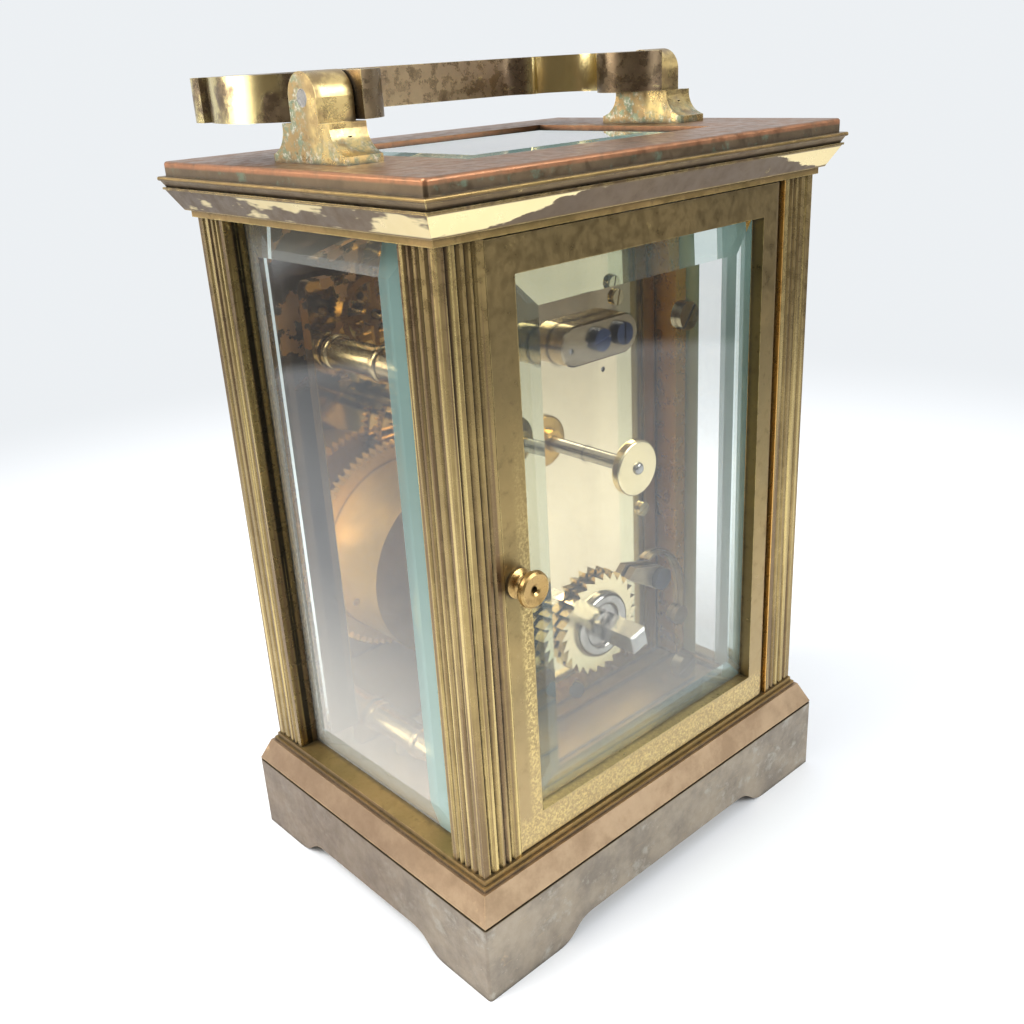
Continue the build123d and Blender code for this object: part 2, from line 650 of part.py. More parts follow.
def handle_half():
    """Half outline of the handle, in (x, distance from the pivot), from the grip's middle round."""
    lobe_x, lobe_v = LOBE_CENTRE
    lobe_end = lobe_v - sqrt(LOBE_RADIUS**2 - (LOBE_FACE - lobe_x) ** 2)
    outer = [
        Line((0, GRIP_OUTER), (32.6, GRIP_OUTER)),
        ThreePointArc((32.6, GRIP_OUTER), (35.3, 26.0), (36.3, 23.6)),
        Line((36.3, 23.6), (36.3, 22.1)),
        Line((36.3, 22.1), (35.4, 21.7)),
        ThreePointArc((35.4, 21.7), (36.9, 12.5), (33.6, 4.6)),
        ThreePointArc((33.6, 4.6), (32.4, 3.7), (31.0, 3.6)),
        Line((31.0, 3.6), (LOBE_FACE, 3.6)),
        Line((LOBE_FACE, 3.6), (LOBE_FACE, lobe_end)),
    ]
    lobe = ThreePointArc(
        (LOBE_FACE, lobe_end),
        (lobe_x - LOBE_RADIUS, lobe_v),
        (lobe_x - LOBE_RADIUS * cos(0.9), lobe_v + LOBE_RADIUS * sin(0.9)),
    )
    inner = [
        lobe,
        ThreePointArc(lobe @ 1, (30.4, 12.9), (25.2, 19.9)),
        ThreePointArc((25.2, 19.9), (24.0, 19.2), (22.8, 20.0)),
        ThreePointArc((22.8, 20.0), (21.4, 21.7), (19.4, GRIP_INNER)),
        Line((19.4, GRIP_INNER), (0, GRIP_INNER)),
        Line((0, GRIP_INNER), (0, GRIP_OUTER)),
    ]
    return outer + inner


def handle():
    face = make_face(handle_half())
    half = Pos(0, 0, PIVOT_Z - HANDLE_THICK / 2) * extrude(mirror(face, Plane.XZ), HANDLE_THICK)
    body = half + mirror(half, Plane.YZ)
    bore = PIVOT_PIN + RUN_FIT
    reach = LOBE_FACE - 4.0
    for side in (-1, 1):
        body -= disc_x(0, PIVOT_Z, bore, side * reach, side * LOBE_FACE)
    return body


def handle_pins():
    return group([disc_x(0, PIVOT_Z, PIVOT_PIN, s * (LOBE_FACE - 3.6), s * POST_OUTER) for s in (-1, 1)])


# --- Plates and fixings -------------------------------------------------------------------------
PLATE_SCREW_SPOTS = ((-12.4, 56.1), (-7.1, 91.8), (4.0, 29.0))
MASK_SPOTS = ((-24.5, 44.0), (24.5, 44.0), (-24.5, 92.0), (24.5, 92.0))
PLATFORM_SPOTS = [(sx * 13.0, y) for sx in (-1, 1) for y in (FRONT_FACE + 1.1, BACK_FACE - 1.1)]
COCK_SPOTS = ((0.0, 87.3), (-4.7, 87.3))
MOVEMENT_CORNERS = [(sx * MOVEMENT_PILLAR_X, z) for sx in (-1, 1) for z in MOVEMENT_PILLAR_Z]
CORNER_SCREW = 1.2
PLATE_SCREW = 0.8


def movement_plate(y0, y1):
    """Plate with the holes shared by both plates."""
    plate = block(-PLATE_X, PLATE_X, y0, y1, FLOOR_Z, PLATE_TOP)
    plate = fillet(plate.edges().filter_by(Axis.Y).group_by(Axis.Z)[-1], 1.2)
    for axis in (INTER_AXIS, THIRD_AXIS):
        plate -= disc_y(axis, PIVOT + RUN_FIT, y0, y1)
    for corner in MOVEMENT_CORNERS:
        plate -= disc_y(corner, CORNER_SCREW, y0, y1)
    plate -= disc_y(CENTRE_AXIS, CENTRE_ARBOR + RUN_FIT, y0, y1)
    for x, y in PLATFORM_SPOTS:
        plate -= disc_z((x, y), 0.6, PLATE_TOP - 4.0, PLATE_TOP)
    return plate


def back_plate():
    plate = movement_plate(BACK_INNER, BACK_FACE)
    plate -= disc_y(BARREL_AXIS, WINDING_ARBOR + RUN_FIT, BACK_INNER, BACK_FACE)
    plate -= disc_y(CONTRATE_AXIS, 1.6, BACK_INNER, BACK_FACE)
    for spot in PLATE_SCREW_SPOTS + COCK_SPOTS + (CLICK_AXIS,):
        plate -= disc_y(spot, PLATE_SCREW, BACK_INNER, BACK_FACE)
    return plate


def front_plate():
    plate = movement_plate(FRONT_FACE, FRONT_INNER)
    plate -= disc_y(BARREL_AXIS, 1.5 + RUN_FIT, FRONT_FACE, FRONT_INNER)
    plate -= disc_y(CONTRATE_AXIS, PIVOT + RUN_FIT, FRONT_FACE, FRONT_INNER)
    plate -= disc_y(MINUTE_AXIS, 0.7, FRONT_FACE, FRONT_INNER)
    for spot in MASK_SPOTS:
        plate -= disc_y(spot, 0.7, FRONT_FACE, FRONT_INNER)
    return plate


def movement_pillars():
    """Four turned pillars, each with a ring at its middle and at both ends."""
    length = BACK_INNER - FRONT_INNER
    middle = (BACK_INNER + FRONT_INNER) / 2
    pillars = []
    for axis in MOVEMENT_CORNERS:
        pillar_solid = disc_y(axis, MOVEMENT_PILLAR, FRONT_INNER, BACK_INNER)
        for at in (-0.46, 0.0, 0.46):
            centre = middle + at * length
            ring = fillet(Cylinder(2.8, 1.6).edges(), 0.5)
            pillar_solid += along_y(ring, axis, centre)
        for end, way in ((FRONT_INNER, 1), (BACK_INNER, -1)):
            pillar_solid -= disc_y(axis, CORNER_SCREW - 0.02, end, end + way * 6.0)
        if axis[1] == MOVEMENT_PILLAR_Z[0]:
            for x, y in MOVEMENT_SCREWS:
                pillar_solid -= disc_z((x, y), MOVEMENT_SCREW, FLOOR_Z, MOVEMENT_PILLAR_Z[0])
        pillars.append(pillar_solid)
    return group(pillars)


def movement_pillar_screws():
    screws = []
    for index, axis in enumerate(MOVEMENT_CORNERS):
        for face, way in ((BACK_FACE, 1), (FRONT_FACE, -1)):
            head_turn = 31 * index + 20 * way
            reach = PLATE_THICK + 5.0
            size = (2.3, CORNER_SCREW - 0.02, face, 1.0, reach)
            screws.append(slotted_screw_y(axis, *size, head_turn, way))
    return group(screws)


def movement_screws():
    """Screws that hold the movement down on the plinth."""
    spots = enumerate(MOVEMENT_SCREWS)
    reach = MOVEMENT_PILLAR_Z[0] - CAVITY_TOP - 0.3
    size = (2.2, MOVEMENT_SCREW, CAVITY_TOP, 1.4, reach)
    return group([slotted_screw_z(spot, *size, 47 * index, way=-1) for index, spot in spots])


def back_plate_screws():
    spots = enumerate(PLATE_SCREW_SPOTS)
    size = (1.2, PLATE_SCREW, BACK_FACE, 0.6, PLATE_THICK)
    return group([slotted_screw_y(spot, *size, 25 + 50 * index) for index, spot in spots])


def contrate_cock():
    """Oblong cock outside the back plate that carries the contrate wheel's rear pivot."""
    end = 3.0
    centre_z = COCK_SPOTS[0][1] - 0.2
    body = block(-5.5, 4.5, BACK_FACE, BACK_FACE + 3.0, centre_z - end, centre_z + end)
    for x in (-5.5, 4.5):
        body += disc_y((x, centre_z), end, BACK_FACE, BACK_FACE + 3.0)
    body = chamfer(body.edges().group_by(Axis.Y)[-1], 0.25)
    body -= disc_y(CONTRATE_AXIS, PIVOT + RUN_FIT, BACK_FACE, BACK_FACE + 3.0)
    for spot in COCK_SPOTS:
        body -= disc_y(spot, PLATE_SCREW, BACK_FACE, BACK_FACE + 3.0)
    return body


def cock_screws():
    face = BACK_FACE + 3.0
    spots = enumerate(COCK_SPOTS)
    return group([slotted_screw_y(p, 1.7, PLATE_SCREW, face, 1.0, 5.0, 15 + 75 * i) for i, p in spots])


# --- Barrel and winding work --------------------------------------------------------------------
INNER_DRUM = DRUM_RADIUS - DRUM_WALL
WEB_FRONT = GREAT_Y[0] - 1.2
HUB_RADIUS = 3.4


def barrel_drum():
    """Drum in one with the great wheel."""
    angle = direction(BARREL_AXIS, INTER_AXIS)
    body = gear_y(BARREL_AXIS, GREAT_TEETH, GREAT_MODULE, *GREAT_Y, angle)
    body += disc_y(BARREL_AXIS, DRUM_RADIUS, DRUM_FRONT, GREAT_Y[0])
    body -= disc_y(BARREL_AXIS, INNER_DRUM, DRUM_FRONT, WEB_FRONT)
    groove = disc_y(BARREL_AXIS, 14.5, GREAT_Y[1] - 0.35, GREAT_Y[1])
    groove -= disc_y(BARREL_AXIS, 14.0, GREAT_Y[1] - 0.35, GREAT_Y[1])
    body -= groove
    return body - disc_y(BARREL_AXIS, WINDING_ARBOR + RUN_FIT, WEB_FRONT, GREAT_Y[1])


def barrel_cover():
    cover = disc_y(BARREL_AXIS, INNER_DRUM, DRUM_FRONT, DRUM_FRONT + COVER_THICK)
    cover += disc_y(BARREL_AXIS, HUB_RADIUS, DRUM_FRONT - 0.8, DRUM_FRONT)
    return cover - disc_y(BARREL_AXIS, WINDING_ARBOR + RUN_FIT, DRUM_FRONT - 0.8, DRUM_FRONT + COVER_THICK)


def spiral(inner, outer, turns, strip):
    """Flat spiral strip about the origin, from an inner to an outer radius."""
    steps = turns * 12
    edges = []
    for side in (-strip / 2, strip / 2):
        points = []
        for index in range(steps + 1):
            angle = 2 * pi * turns * index / steps
            radius = inner + (outer - inner) * index / steps + side
            points.append((radius * cos(angle), radius * sin(angle)))
        edges.append(Spline(*points))
    first, second = edges
    return [first, Line(first @ 1, second @ 1), second, Line(second @ 0, first @ 0)]


def mainspring():
    strip = spiral(HUB_RADIUS + 0.5, INNER_DRUM - 0.4, 9, 0.4)
    front = DRUM_FRONT + COVER_THICK + 0.4
    return Pos(BARREL_AXIS[0], 0, BARREL_AXIS[1]) * xz_plate(strip, front, WEB_FRONT - 0.4)


def winding_arbor():
    """Barrel arbor: a hub in the drum, a journal at each plate and the winding square behind."""
    axis = BARREL_AXIS
    body = disc_y(axis, 1.5, FRONT_FACE + 0.3, FRONT_INNER + SHAKE)
    body += disc_y(axis, WINDING_ARBOR, FRONT_INNER + SHAKE, RATCHET_Y[1] + 0.6)
    body += disc_y(axis, HUB_RADIUS, DRUM_FRONT + COVER_THICK + SHAKE, WEB_FRONT - SHAKE)
    half = WIND_SQUARE / 2
    square = block(-half, half, RATCHET_Y[1] + 0.6, WIND_END, -half, half)
    square = chamfer(square.edges().group_by(Axis.Y)[-1], 0.35)
    return body + Pos(axis[0], 0, axis[1]) * Rot(0, 14, 0) * square


def ratchet_outline():
    """Saw teeth that let the click slip when the spring is wound."""
    step = 2 * pi / RATCHET_TEETH
    root = RATCHET_RADIUS - RATCHET_DEPTH
    points = []
    for index in range(RATCHET_TEETH):
        angle = index * step
        points.append((root * cos(angle), root * sin(angle)))
        tip = angle + 0.08 * step
        points.append((RATCHET_RADIUS * cos(tip), RATCHET_RADIUS * sin(tip)))
    return polygon(points)


def ratchet_wheel():
    wheel = Pos(BARREL_AXIS[0], 0, BARREL_AXIS[1]) * xz_plate(ratchet_outline(), *RATCHET_Y)
    wheel += disc_y(BARREL_AXIS, 2.9, RATCHET_Y[0] - 0.2, RATCHET_Y[0])
    return wheel - disc_y(BARREL_AXIS, WINDING_ARBOR, RATCHET_Y[0] - 0.2, RATCHET_Y[1])


def ratchet_keeper():
    """Polished open ring that keeps the ratchet wheel on its arbor."""
    y0, y1 = KEEPER_Y
    ring = disc_y(BARREL_AXIS, 5.5, y0, y1) - disc_y(BARREL_AXIS, 3.4, y0, y1)
    ring = fillet(ring.edges().group_by(Axis.Y)[-1], 0.75)
    ring += disc_y(BARREL_AXIS, 3.6, y0, y0 + 0.35)
    ring -= disc_y(BARREL_AXIS, WINDING_ARBOR, y0, y1)
    gap = block(0, 7.0, y0, y1, -1.9, 1.9)
    return ring - Pos(BARREL_AXIS[0], 0, BARREL_AXIS[1]) * Rot(0, -42, 0) * gap


CLICK_Y = (13.4, 14.7)
CLICK_SPRING_FOOT = (-21.5, 33.0)


def click():
    """Pawl whose tip rests just outside the ratchet's teeth."""
    pivot_x, pivot_z = CLICK_AXIS
    angle = direction(BARREL_AXIS, CLICK_AXIS) - 0.42
    tip_radius = RATCHET_RADIUS + 0.15
    tip = (BARREL_AXIS[0] + tip_radius * cos(angle), BARREL_AXIS[1] + tip_radius * sin(angle))
    heel = (tip[0] - 1.6, tip[1] + 1.5)
    arm = [
        (pivot_x - 0.6, pivot_z + 1.9),
        heel,
        tip,
        (tip[0] - 1.3, tip[1] - 1.0),
        (pivot_x + 0.4, pivot_z - 1.9),
    ]
    body = xz_plate(polygon(arm), *CLICK_Y) + disc_y(CLICK_AXIS, 2.0, *CLICK_Y)
    return body - disc_y(CLICK_AXIS, PLATE_SCREW + 0.3 + RUN_FIT, *CLICK_Y)


def click_screw():
    """Shouldered screw the click turns on."""
    x, z = CLICK_AXIS
    body = slotted_screw_y((x, z), 1.9, PLATE_SCREW, CLICK_Y[1] + SHAKE, 1.0, 1.0, 60)
    body += disc_y((x, z), PLATE_SCREW + 0.3, BACK_FACE, CLICK_Y[1] + SHAKE)
    return body + disc_y((x, z), PLATE_SCREW, BACK_INNER, BACK_FACE)


def click_spring():
    """Bent strip, screwed to the back plate, that ends just behind the click's arm."""
    foot_x, foot_z = CLICK_SPRING_FOOT
    end = (CLICK_AXIS[0] + 1.6, CLICK_AXIS[1] + 3.3)
    strip = Bezier((foot_x, foot_z), (foot_x - 1.8, foot_z + 9.0), (end[0] - 5.5, end[1] + 2.2), end)
    outer = Bezier(
        (foot_x - 0.5, foot_z),
        (foot_x - 2.4, foot_z + 9.3),
        (end[0] - 5.6, end[1] + 2.9),
        (end[0] + 0.2, end[1] + 0.45),
    )
    outline = [strip, Line(strip @ 1, outer @ 1), outer, Line(outer @ 0, strip @ 0)]
    body = xz_plate(outline, BACK_FACE, BACK_FACE + 1.0)
    return body + disc_y(CLICK_SPRING_FOOT, 1.7, BACK_FACE, BACK_FACE + 1.0)


# --- Going train --------------------------------------------------------------------------------
def intermediate_wheel():
    return crossed_wheel(
        INTER_AXIS, INTER_TEETH, INTER_MODULE, *INTER_Y, direction(INTER_AXIS, CENTRE_AXIS), bore=ARBOR
    )


def intermediate_arbor():
    phase = facing_phase(BARREL_PINION, direction(BARREL_AXIS, INTER_AXIS))
    body = pivoted_arbor(INTER_AXIS, FRONT_INNER + SHAKE, BACK_INNER - SHAKE)
    faces = (GREAT_Y[0] - 0.5, GREAT_Y[1] + 0.5)
    return body + gear_y(INTER_AXIS, BARREL_PINION, GREAT_MODULE, *faces, phase)


def centre_wheel():
    phase = direction(CENTRE_AXIS, THIRD_AXIS)
    return crossed_wheel(CENTRE_AXIS, CENTRE_TEETH, CENTRE_MODULE, *CENTRE_Y, phase, bore=1.4)


def centre_pinion():
    """Long pipe with the centre pinion at its rear end, free on the centre arbor."""
    phase = facing_phase(CENTRE_PINION, direction(INTER_AXIS, CENTRE_AXIS))
    body = disc_y(CENTRE_AXIS, 1.4, FRONT_INNER + SHAKE, BACK_INNER - SHAKE)
    body += gear_y(CENTRE_AXIS, CENTRE_PINION, INTER_MODULE, INTER_Y[0] - 0.5, INTER_Y[1] + 0.5, phase)
    return body - disc_y(CENTRE_AXIS, CENTRE_ARBOR + RUN_FIT, FRONT_INNER, BACK_INNER)


def third_wheel():
    phase = direction(THIRD_AXIS, CONTRATE_AXIS)
    return crossed_wheel(THIRD_AXIS, THIRD_TEETH, THIRD_MODULE, *THIRD_Y, phase, bore=ARBOR)


def third_arbor():
    phase = facing_phase(THIRD_PINION, direction(CENTRE_AXIS, THIRD_AXIS))
    body = pivoted_arbor(THIRD_AXIS, FRONT_INNER + SHAKE, BACK_INNER - SHAKE)
    faces = (CENTRE_Y[0] - 0.4, CENTRE_Y[1] + 0.5)
    return body + gear_y(THIRD_AXIS, THIRD_PINION, CENTRE_MODULE, *faces, phase)


def contrate_wheel():
    """Crown wheel whose teeth point to the rear and drive the upright escape pinion."""
    y0, y1 = CROWN_Y
    half_rim = 0.4
    inner, outer = CROWN_RADIUS - half_rim, CROWN_RADIUS + half_rim
    body = disc_y(CONTRATE_AXIS, outer, y0, y1)
    window = disc_y(CONTRATE_AXIS, inner - 0.4, y0, y1) - disc_y(CONTRATE_AXIS, 2.0, y0, y1)
    for index in range(4):
        arm = block(0, inner, y0, y1, -0.5, 0.5)
        window -= Pos(CONTRATE_AXIS[0], 0, CONTRATE_AXIS[1]) * Rot(0, 90 * index, 0) * arm
    body -= window + disc_y(CONTRATE_AXIS, ARBOR, y0, y1)
    module = CROWN_PITCH / pi
    tip, root = CROWN_LINE + 0.9 * module, CROWN_LINE - 1.25 * module
    half_root, half_tip = CROWN_PITCH * 0.21, CROWN_PITCH * 0.08
    body += disc_y(CONTRATE_AXIS, outer, y1, root) - disc_y(CONTRATE_AXIS, inner, y1, root)
    section = polygon([(-half_root, 0), (half_root, 0), (half_tip, tip - root), (-half_tip, tip - root)])
    tooth = Pos(0, root, CROWN_RADIUS - half_rim) * extrude(make_face(section), 2 * half_rim)
    teeth = [Rot(0, 360 * index / CROWN_TEETH, 0) * tooth for index in range(CROWN_TEETH)]
    return body + [Pos(CONTRATE_AXIS[0], 0, CONTRATE_AXIS[1]) * one for one in teeth]


def contrate_arbor():
    phase = facing_phase(CONTRATE_PINION, direction(THIRD_AXIS, CONTRATE_AXIS))
    body = disc_y(CONTRATE_AXIS, ARBOR, FRONT_INNER + SHAKE, BACK_FACE - SHAKE)
    body += disc_y(CONTRATE_AXIS, PIVOT, FRONT_FACE + 0.3, FRONT_INNER + SHAKE)
    body += disc_y(CONTRATE_AXIS, PIVOT, BACK_FACE - SHAKE, BACK_FACE + 2.8)
    faces = (THIRD_Y[0] - 0.4, THIRD_Y[1] + 0.5)
    return body + gear_y(CONTRATE_AXIS, CONTRATE_PINION, THIRD_MODULE, *faces, phase)


# --- Hands and dial -----------------------------------------------------------------------------
CANNON_Y = (-17.95, -17.25)
MINUTE_WHEEL_Y = (-17.9, -17.35)
HOUR_WHEEL_Y = (-18.75, -18.2)
HOUR_HAND_Y = (-20.85, -20.5)
MINUTE_HAND_Y = (-21.5, -21.15)
CANNON_PIPE = 1.25
HOUR_PIPE = 1.8


def centre_arbor():
    """Arbor that runs through the movement from the minute hand to the hand-setting knob."""
    body = disc_y(CENTRE_AXIS, CENTRE_ARBOR, -22.0, BACK_FACE + SHAKE)
    body += disc_y(CENTRE_AXIS, 1.15, BACK_FACE + SHAKE, SETTING_END - 2.0)
    end = disc_y(CENTRE_AXIS, CENTRE_ARBOR, SETTING_END - 2.0, SETTING_END)
    return body + fillet(end.edges().group_by(Axis.Y)[-1], 0.4)


def setting_knob():
    """Collar and disc by which the hands are set."""
    knob = fillet(disc_y(CENTRE_AXIS, 4.2, SETTING_END - 2.0, SETTING_END - 0.5).edges(), 0.3)
    knob += disc_y(CENTRE_AXIS, 2.1, SETTING_END - 3.6, SETTING_END - 2.0)
    knob -= disc_y(CENTRE_AXIS, CENTRE_ARBOR, SETTING_END - 2.0, SETTING_END)
    return knob - disc_y(CENTRE_AXIS, 1.15, SETTING_END - 3.6, SETTING_END - 2.0)


def cannon_pinion():
    phase = direction(CENTRE_AXIS, MINUTE_AXIS)
    body = gear_y(CENTRE_AXIS, CANNON_TEETH, CANNON_MODULE, *CANNON_Y, phase)
    body += disc_y(CENTRE_AXIS, CANNON_PIPE, MINUTE_HAND_Y[0], CANNON_Y[0])
    return body - disc_y(CENTRE_AXIS, CENTRE_ARBOR, MINUTE_HAND_Y[0], CANNON_Y[1])


def minute_wheel():
    """Minute wheel in one with its pinion."""
    to_centre = direction(MINUTE_AXIS, CENTRE_AXIS)
    phase = facing_phase(MINUTE_TEETH, direction(CENTRE_AXIS, MINUTE_AXIS))
    body = gear_y(MINUTE_AXIS, MINUTE_TEETH, CANNON_MODULE, *MINUTE_WHEEL_Y, phase)
    body += gear_y(MINUTE_AXIS, MINUTE_PINION, HOUR_MODULE, HOUR_WHEEL_Y[0], MINUTE_WHEEL_Y[0], to_centre)
    return body - disc_y(MINUTE_AXIS, 0.74, HOUR_WHEEL_Y[0], MINUTE_WHEEL_Y[1])


def minute_wheel_post():
    post = disc_y(MINUTE_AXIS, 0.7, HOUR_WHEEL_Y[0] - SHAKE, FRONT_INNER)
    return post + disc_y(MINUTE_AXIS, 1.1, HOUR_WHEEL_Y[0] - 0.22, HOUR_WHEEL_Y[0] - SHAKE)


def hour_wheel():
    phase = facing_phase(HOUR_TEETH, direction(MINUTE_AXIS, CENTRE_AXIS))
    body = gear_y(CENTRE_AXIS, HOUR_TEETH, HOUR_MODULE, *HOUR_WHEEL_Y, phase)
    body += disc_y(CENTRE_AXIS, HOUR_PIPE, HOUR_HAND_Y[0], HOUR_WHEEL_Y[0])
    return body - disc_y(CENTRE_AXIS, CANNON_PIPE + RUN_FIT, HOUR_HAND_Y[0], HOUR_WHEEL_Y[1])


def spade_hand(length, spade, bore, eye, y0, y1, clockwise):
    """Hand with a round eye, a slender stem and a leaf-shaped tip."""
    start = length * 0.62
    widest = start + spade * 1.1
    end = start + spade * 2.6
    leaf = [
        Line((-0.3, 0), (-0.3, start)),
        ThreePointArc((-0.3, start), (-spade, widest), (-0.3, end)),
        Line((-0.3, end), (0, length)),
        Line((0, length), (0.3, end)),
        ThreePointArc((0.3, end), (spade, widest), (0.3, start)),
        Line((0.3, start), (0.3, 0)),
        Line((0.3, 0), (-0.3, 0)),
    ]
    body = xz_plate(leaf, y0, y1) + disc_y((0, 0), eye, y0, y1)
    body -= disc_y((0, 0), bore, y0, y1)
    return Pos(CENTRE_AXIS[0], 0, CENTRE_AXIS[1]) * Rot(0, clockwise, 0) * body


def hour_hand():
    return spade_hand(12.5, 1.7, HOUR_PIPE, 2.6, *HOUR_HAND_Y, HOUR_ANGLE)


def minute_hand():
    return spade_hand(18.5, 1.3, CANNON_PIPE, 2.1, *MINUTE_HAND_Y, MINUTE_ANGLE)


def hand_nut():
    nut = disc_y(CENTRE_AXIS, 1.5, MINUTE_HAND_Y[0] - 0.6, MINUTE_HAND_Y[0])
    return nut - disc_y(CENTRE_AXIS, CENTRE_ARBOR, MINUTE_HAND_Y[0] - 0.6, MINUTE_HAND_Y[0])


def dial():
    face = disc_y(CENTRE_AXIS, DIAL_RADIUS, DIAL_FACE, DIAL_FACE + DIAL_THICK)
    face = fillet(face.edges().group_by(Axis.Y)[0], 0.4)
    return face - disc_y(CENTRE_AXIS, HOUR_PIPE + 0.3, DIAL_FACE, DIAL_FACE + DIAL_THICK)


def dial_mask():
    y0 = DIAL_FACE + 0.2
    mask = block(-MASK_X, MASK_X, y0, y0 + MASK_THICK, MASK_BOTTOM, MASK_TOP)
    mask -= disc_y(CENTRE_AXIS, DIAL_RADIUS, y0, y0 + MASK_THICK)
    for spot in MASK_SPOTS:
        mask -= disc_y(spot, 0.7, y0, y0 + MASK_THICK)
    return mask


def mask_pillars():
    """Short pillars that hold the mask in front of the front plate."""
    y0 = DIAL_FACE + 0.2
    posts = []
    for spot in MASK_SPOTS:
        post = disc_y(spot, 1.3, y0 + MASK_THICK, FRONT_FACE) + disc_y(spot, 0.7, y0, FRONT_INNER)
        posts.append(post + disc_y(spot, 1.2, y0 - 0.5, y0))
    return group(posts)


# --- Platform escapement ------------------------------------------------------------------------
ESCAPE_COCK_Z = (100.2, 101.0)
ESCAPE_ARBOR = 0.3
POTENCE_Z = 91.2
BALANCE_COCK_FOOT = BALANCE_AXIS[0] - 11.5
ESCAPE_COCK_FOOT = ESCAPE_AXIS[0] + 6.5


def platform():
    y0, y1 = FRONT_FACE, BACK_FACE
    plate = block(-PLATFORM_X, PLATFORM_X, y0, y1, PLATFORM_LOW, PLATFORM_HIGH)
    plate = fillet(plate.edges().filter_by(Axis.Z), 1.5)
    plate -= disc_z(ESCAPE_AXIS, ESCAPE_ARBOR + RUN_FIT, PLATFORM_LOW, PLATFORM_HIGH)
    plate -= disc_z(BALANCE_AXIS, 0.25 + RUN_FIT, PLATFORM_LOW, PLATFORM_HIGH)
    for spot in PLATFORM_SPOTS:
        plate -= disc_z(spot, 0.6, PLATFORM_LOW, PLATFORM_HIGH)
    for x, y in platform_cock_spots():
        plate -= disc_z((x, y), 0.5, PLATFORM_LOW, PLATFORM_HIGH)
    return plate


def platform_cock_spots():
    """Places of the screws through the feet of the two cocks."""
    return [(BALANCE_COCK_FOOT, BALANCE_AXIS[1]), (ESCAPE_COCK_FOOT, ESCAPE_AXIS[1])]


def platform_screws():
    spots = enumerate(PLATFORM_SPOTS)
    return group([slotted_screw_z(p, 1.4, 0.6, PLATFORM_HIGH, 0.8, 5.2, 30 + 40 * i) for i, p in spots])


def escape_wheel():
    """Cylinder-escapement wheel: fifteen raised, sloping teeth on a light crossed-out disc."""
    x, y = ESCAPE_AXIS
    z0, z1 = ESCAPE_Z
    step = 2 * pi / ESCAPE_TEETH
    points = []
    for index in range(ESCAPE_TEETH):
        angle = index * step
        for radius, offset in ((3.4, 0.0), (3.5, 0.42), (3.75, 0.5), (ESCAPE_RADIUS, 0.92), (3.4, 0.99)):
            points.append((radius * cos(angle + offset * step), radius * sin(angle + offset * step)))
    body = Pos(x, y, z0) * extrude(make_face(polygon(points)), z1 - z0)
    window = disc_z((x, y), 2.9, z0, z1) - disc_z((x, y), 1.1, z0, z1)
    for index in range(3):
        window -= Pos(x, y, 0) * Rot(0, 0, 120 * index) * block(0, 3.0, -0.3, 0.3, z0, z1)
    return body - window - disc_z((x, y), ESCAPE_ARBOR, z0, z1)


def escape_pinion():
    """Upright arbor with the escape pinion below the platform."""
    x, y = ESCAPE_AXIS
    module = CROWN_PITCH / pi
    phase = facing_phase(ESCAPE_PINION, pi / 2)
    outline = tooth_outline(ESCAPE_PINION, module, phase)
    leaves = Pos(x, y, CONTRATE_Z + CROWN_RADIUS - 0.9) * extrude(make_face(outline), 2.4)
    shaft = disc_z((x, y), ESCAPE_ARBOR, POTENCE_Z + SHAKE, ESCAPE_COCK_Z[0] - SHAKE)
    lower = disc_z((x, y), 0.15, POTENCE_Z - 0.6, POTENCE_Z + SHAKE)
    upper = disc_z((x, y), 0.15, ESCAPE_COCK_Z[0] - SHAKE, ESCAPE_COCK_Z[0] + 0.6)
    return leaves + shaft + lower + upper


def escape_cock():
    x, y = ESCAPE_AXIS
    z0, z1 = ESCAPE_COCK_Z
    foot = ESCAPE_COCK_FOOT
    body = block(x, foot, y - 1.2, y + 1.2, z0, z1) + disc_z((x, y), 1.2, z0, z1)
    body += disc_z((foot, y), 2.0, PLATFORM_HIGH, z1)
    body -= disc_z((x, y), 0.15 + RUN_FIT, z0, z1)
    return body - disc_z((foot, y), 0.5, PLATFORM_HIGH, z1)


def escape_potence():
    """Bracket under the platform that carries the escape pinion's lower pivot."""
    x, y = ESCAPE_AXIS
    body = block(x - 1.0, x + 1.0, y, y + 5.0, POTENCE_Z - 0.8, POTENCE_Z)
    body += disc_z((x, y), 1.0, POTENCE_Z - 0.8, POTENCE_Z)
    body += block(x - 1.0, x + 1.0, y + 2.4, y + 5.0, POTENCE_Z, PLATFORM_LOW)
    return body - disc_z((x, y), 0.15 + RUN_FIT, POTENCE_Z - 0.8, POTENCE_Z)


def balance_wheel():
    """Three-armed balance with rim screws."""
    x, y = BALANCE_AXIS
    z0, z1 = BALANCE_Z
    rim = disc_z((x, y), BALANCE_RADIUS, z0, z1) - disc_z((x, y), BALANCE_RADIUS - 0.8, z0, z1)
    body = rim + disc_z((x, y), 1.0, z0, z1)
    middle = (z0 + z1) / 2
    arm = block(0, BALANCE_RADIUS - 0.4, -0.35, 0.35, z0, z1 - 0.3)
    for index in range(3):
        body += Pos(x, y, 0) * Rot(0, 0, 120 * index) * arm
    for index in range(12):
        stud = disc_x(0, middle, 0.28, BALANCE_RADIUS - 0.1, BALANCE_RADIUS + 0.5)
        body += Pos(x, y, 0) * Rot(0, 0, 30 * index + 15) * stud
    return body - disc_z((x, y), 0.35, z0, z1)


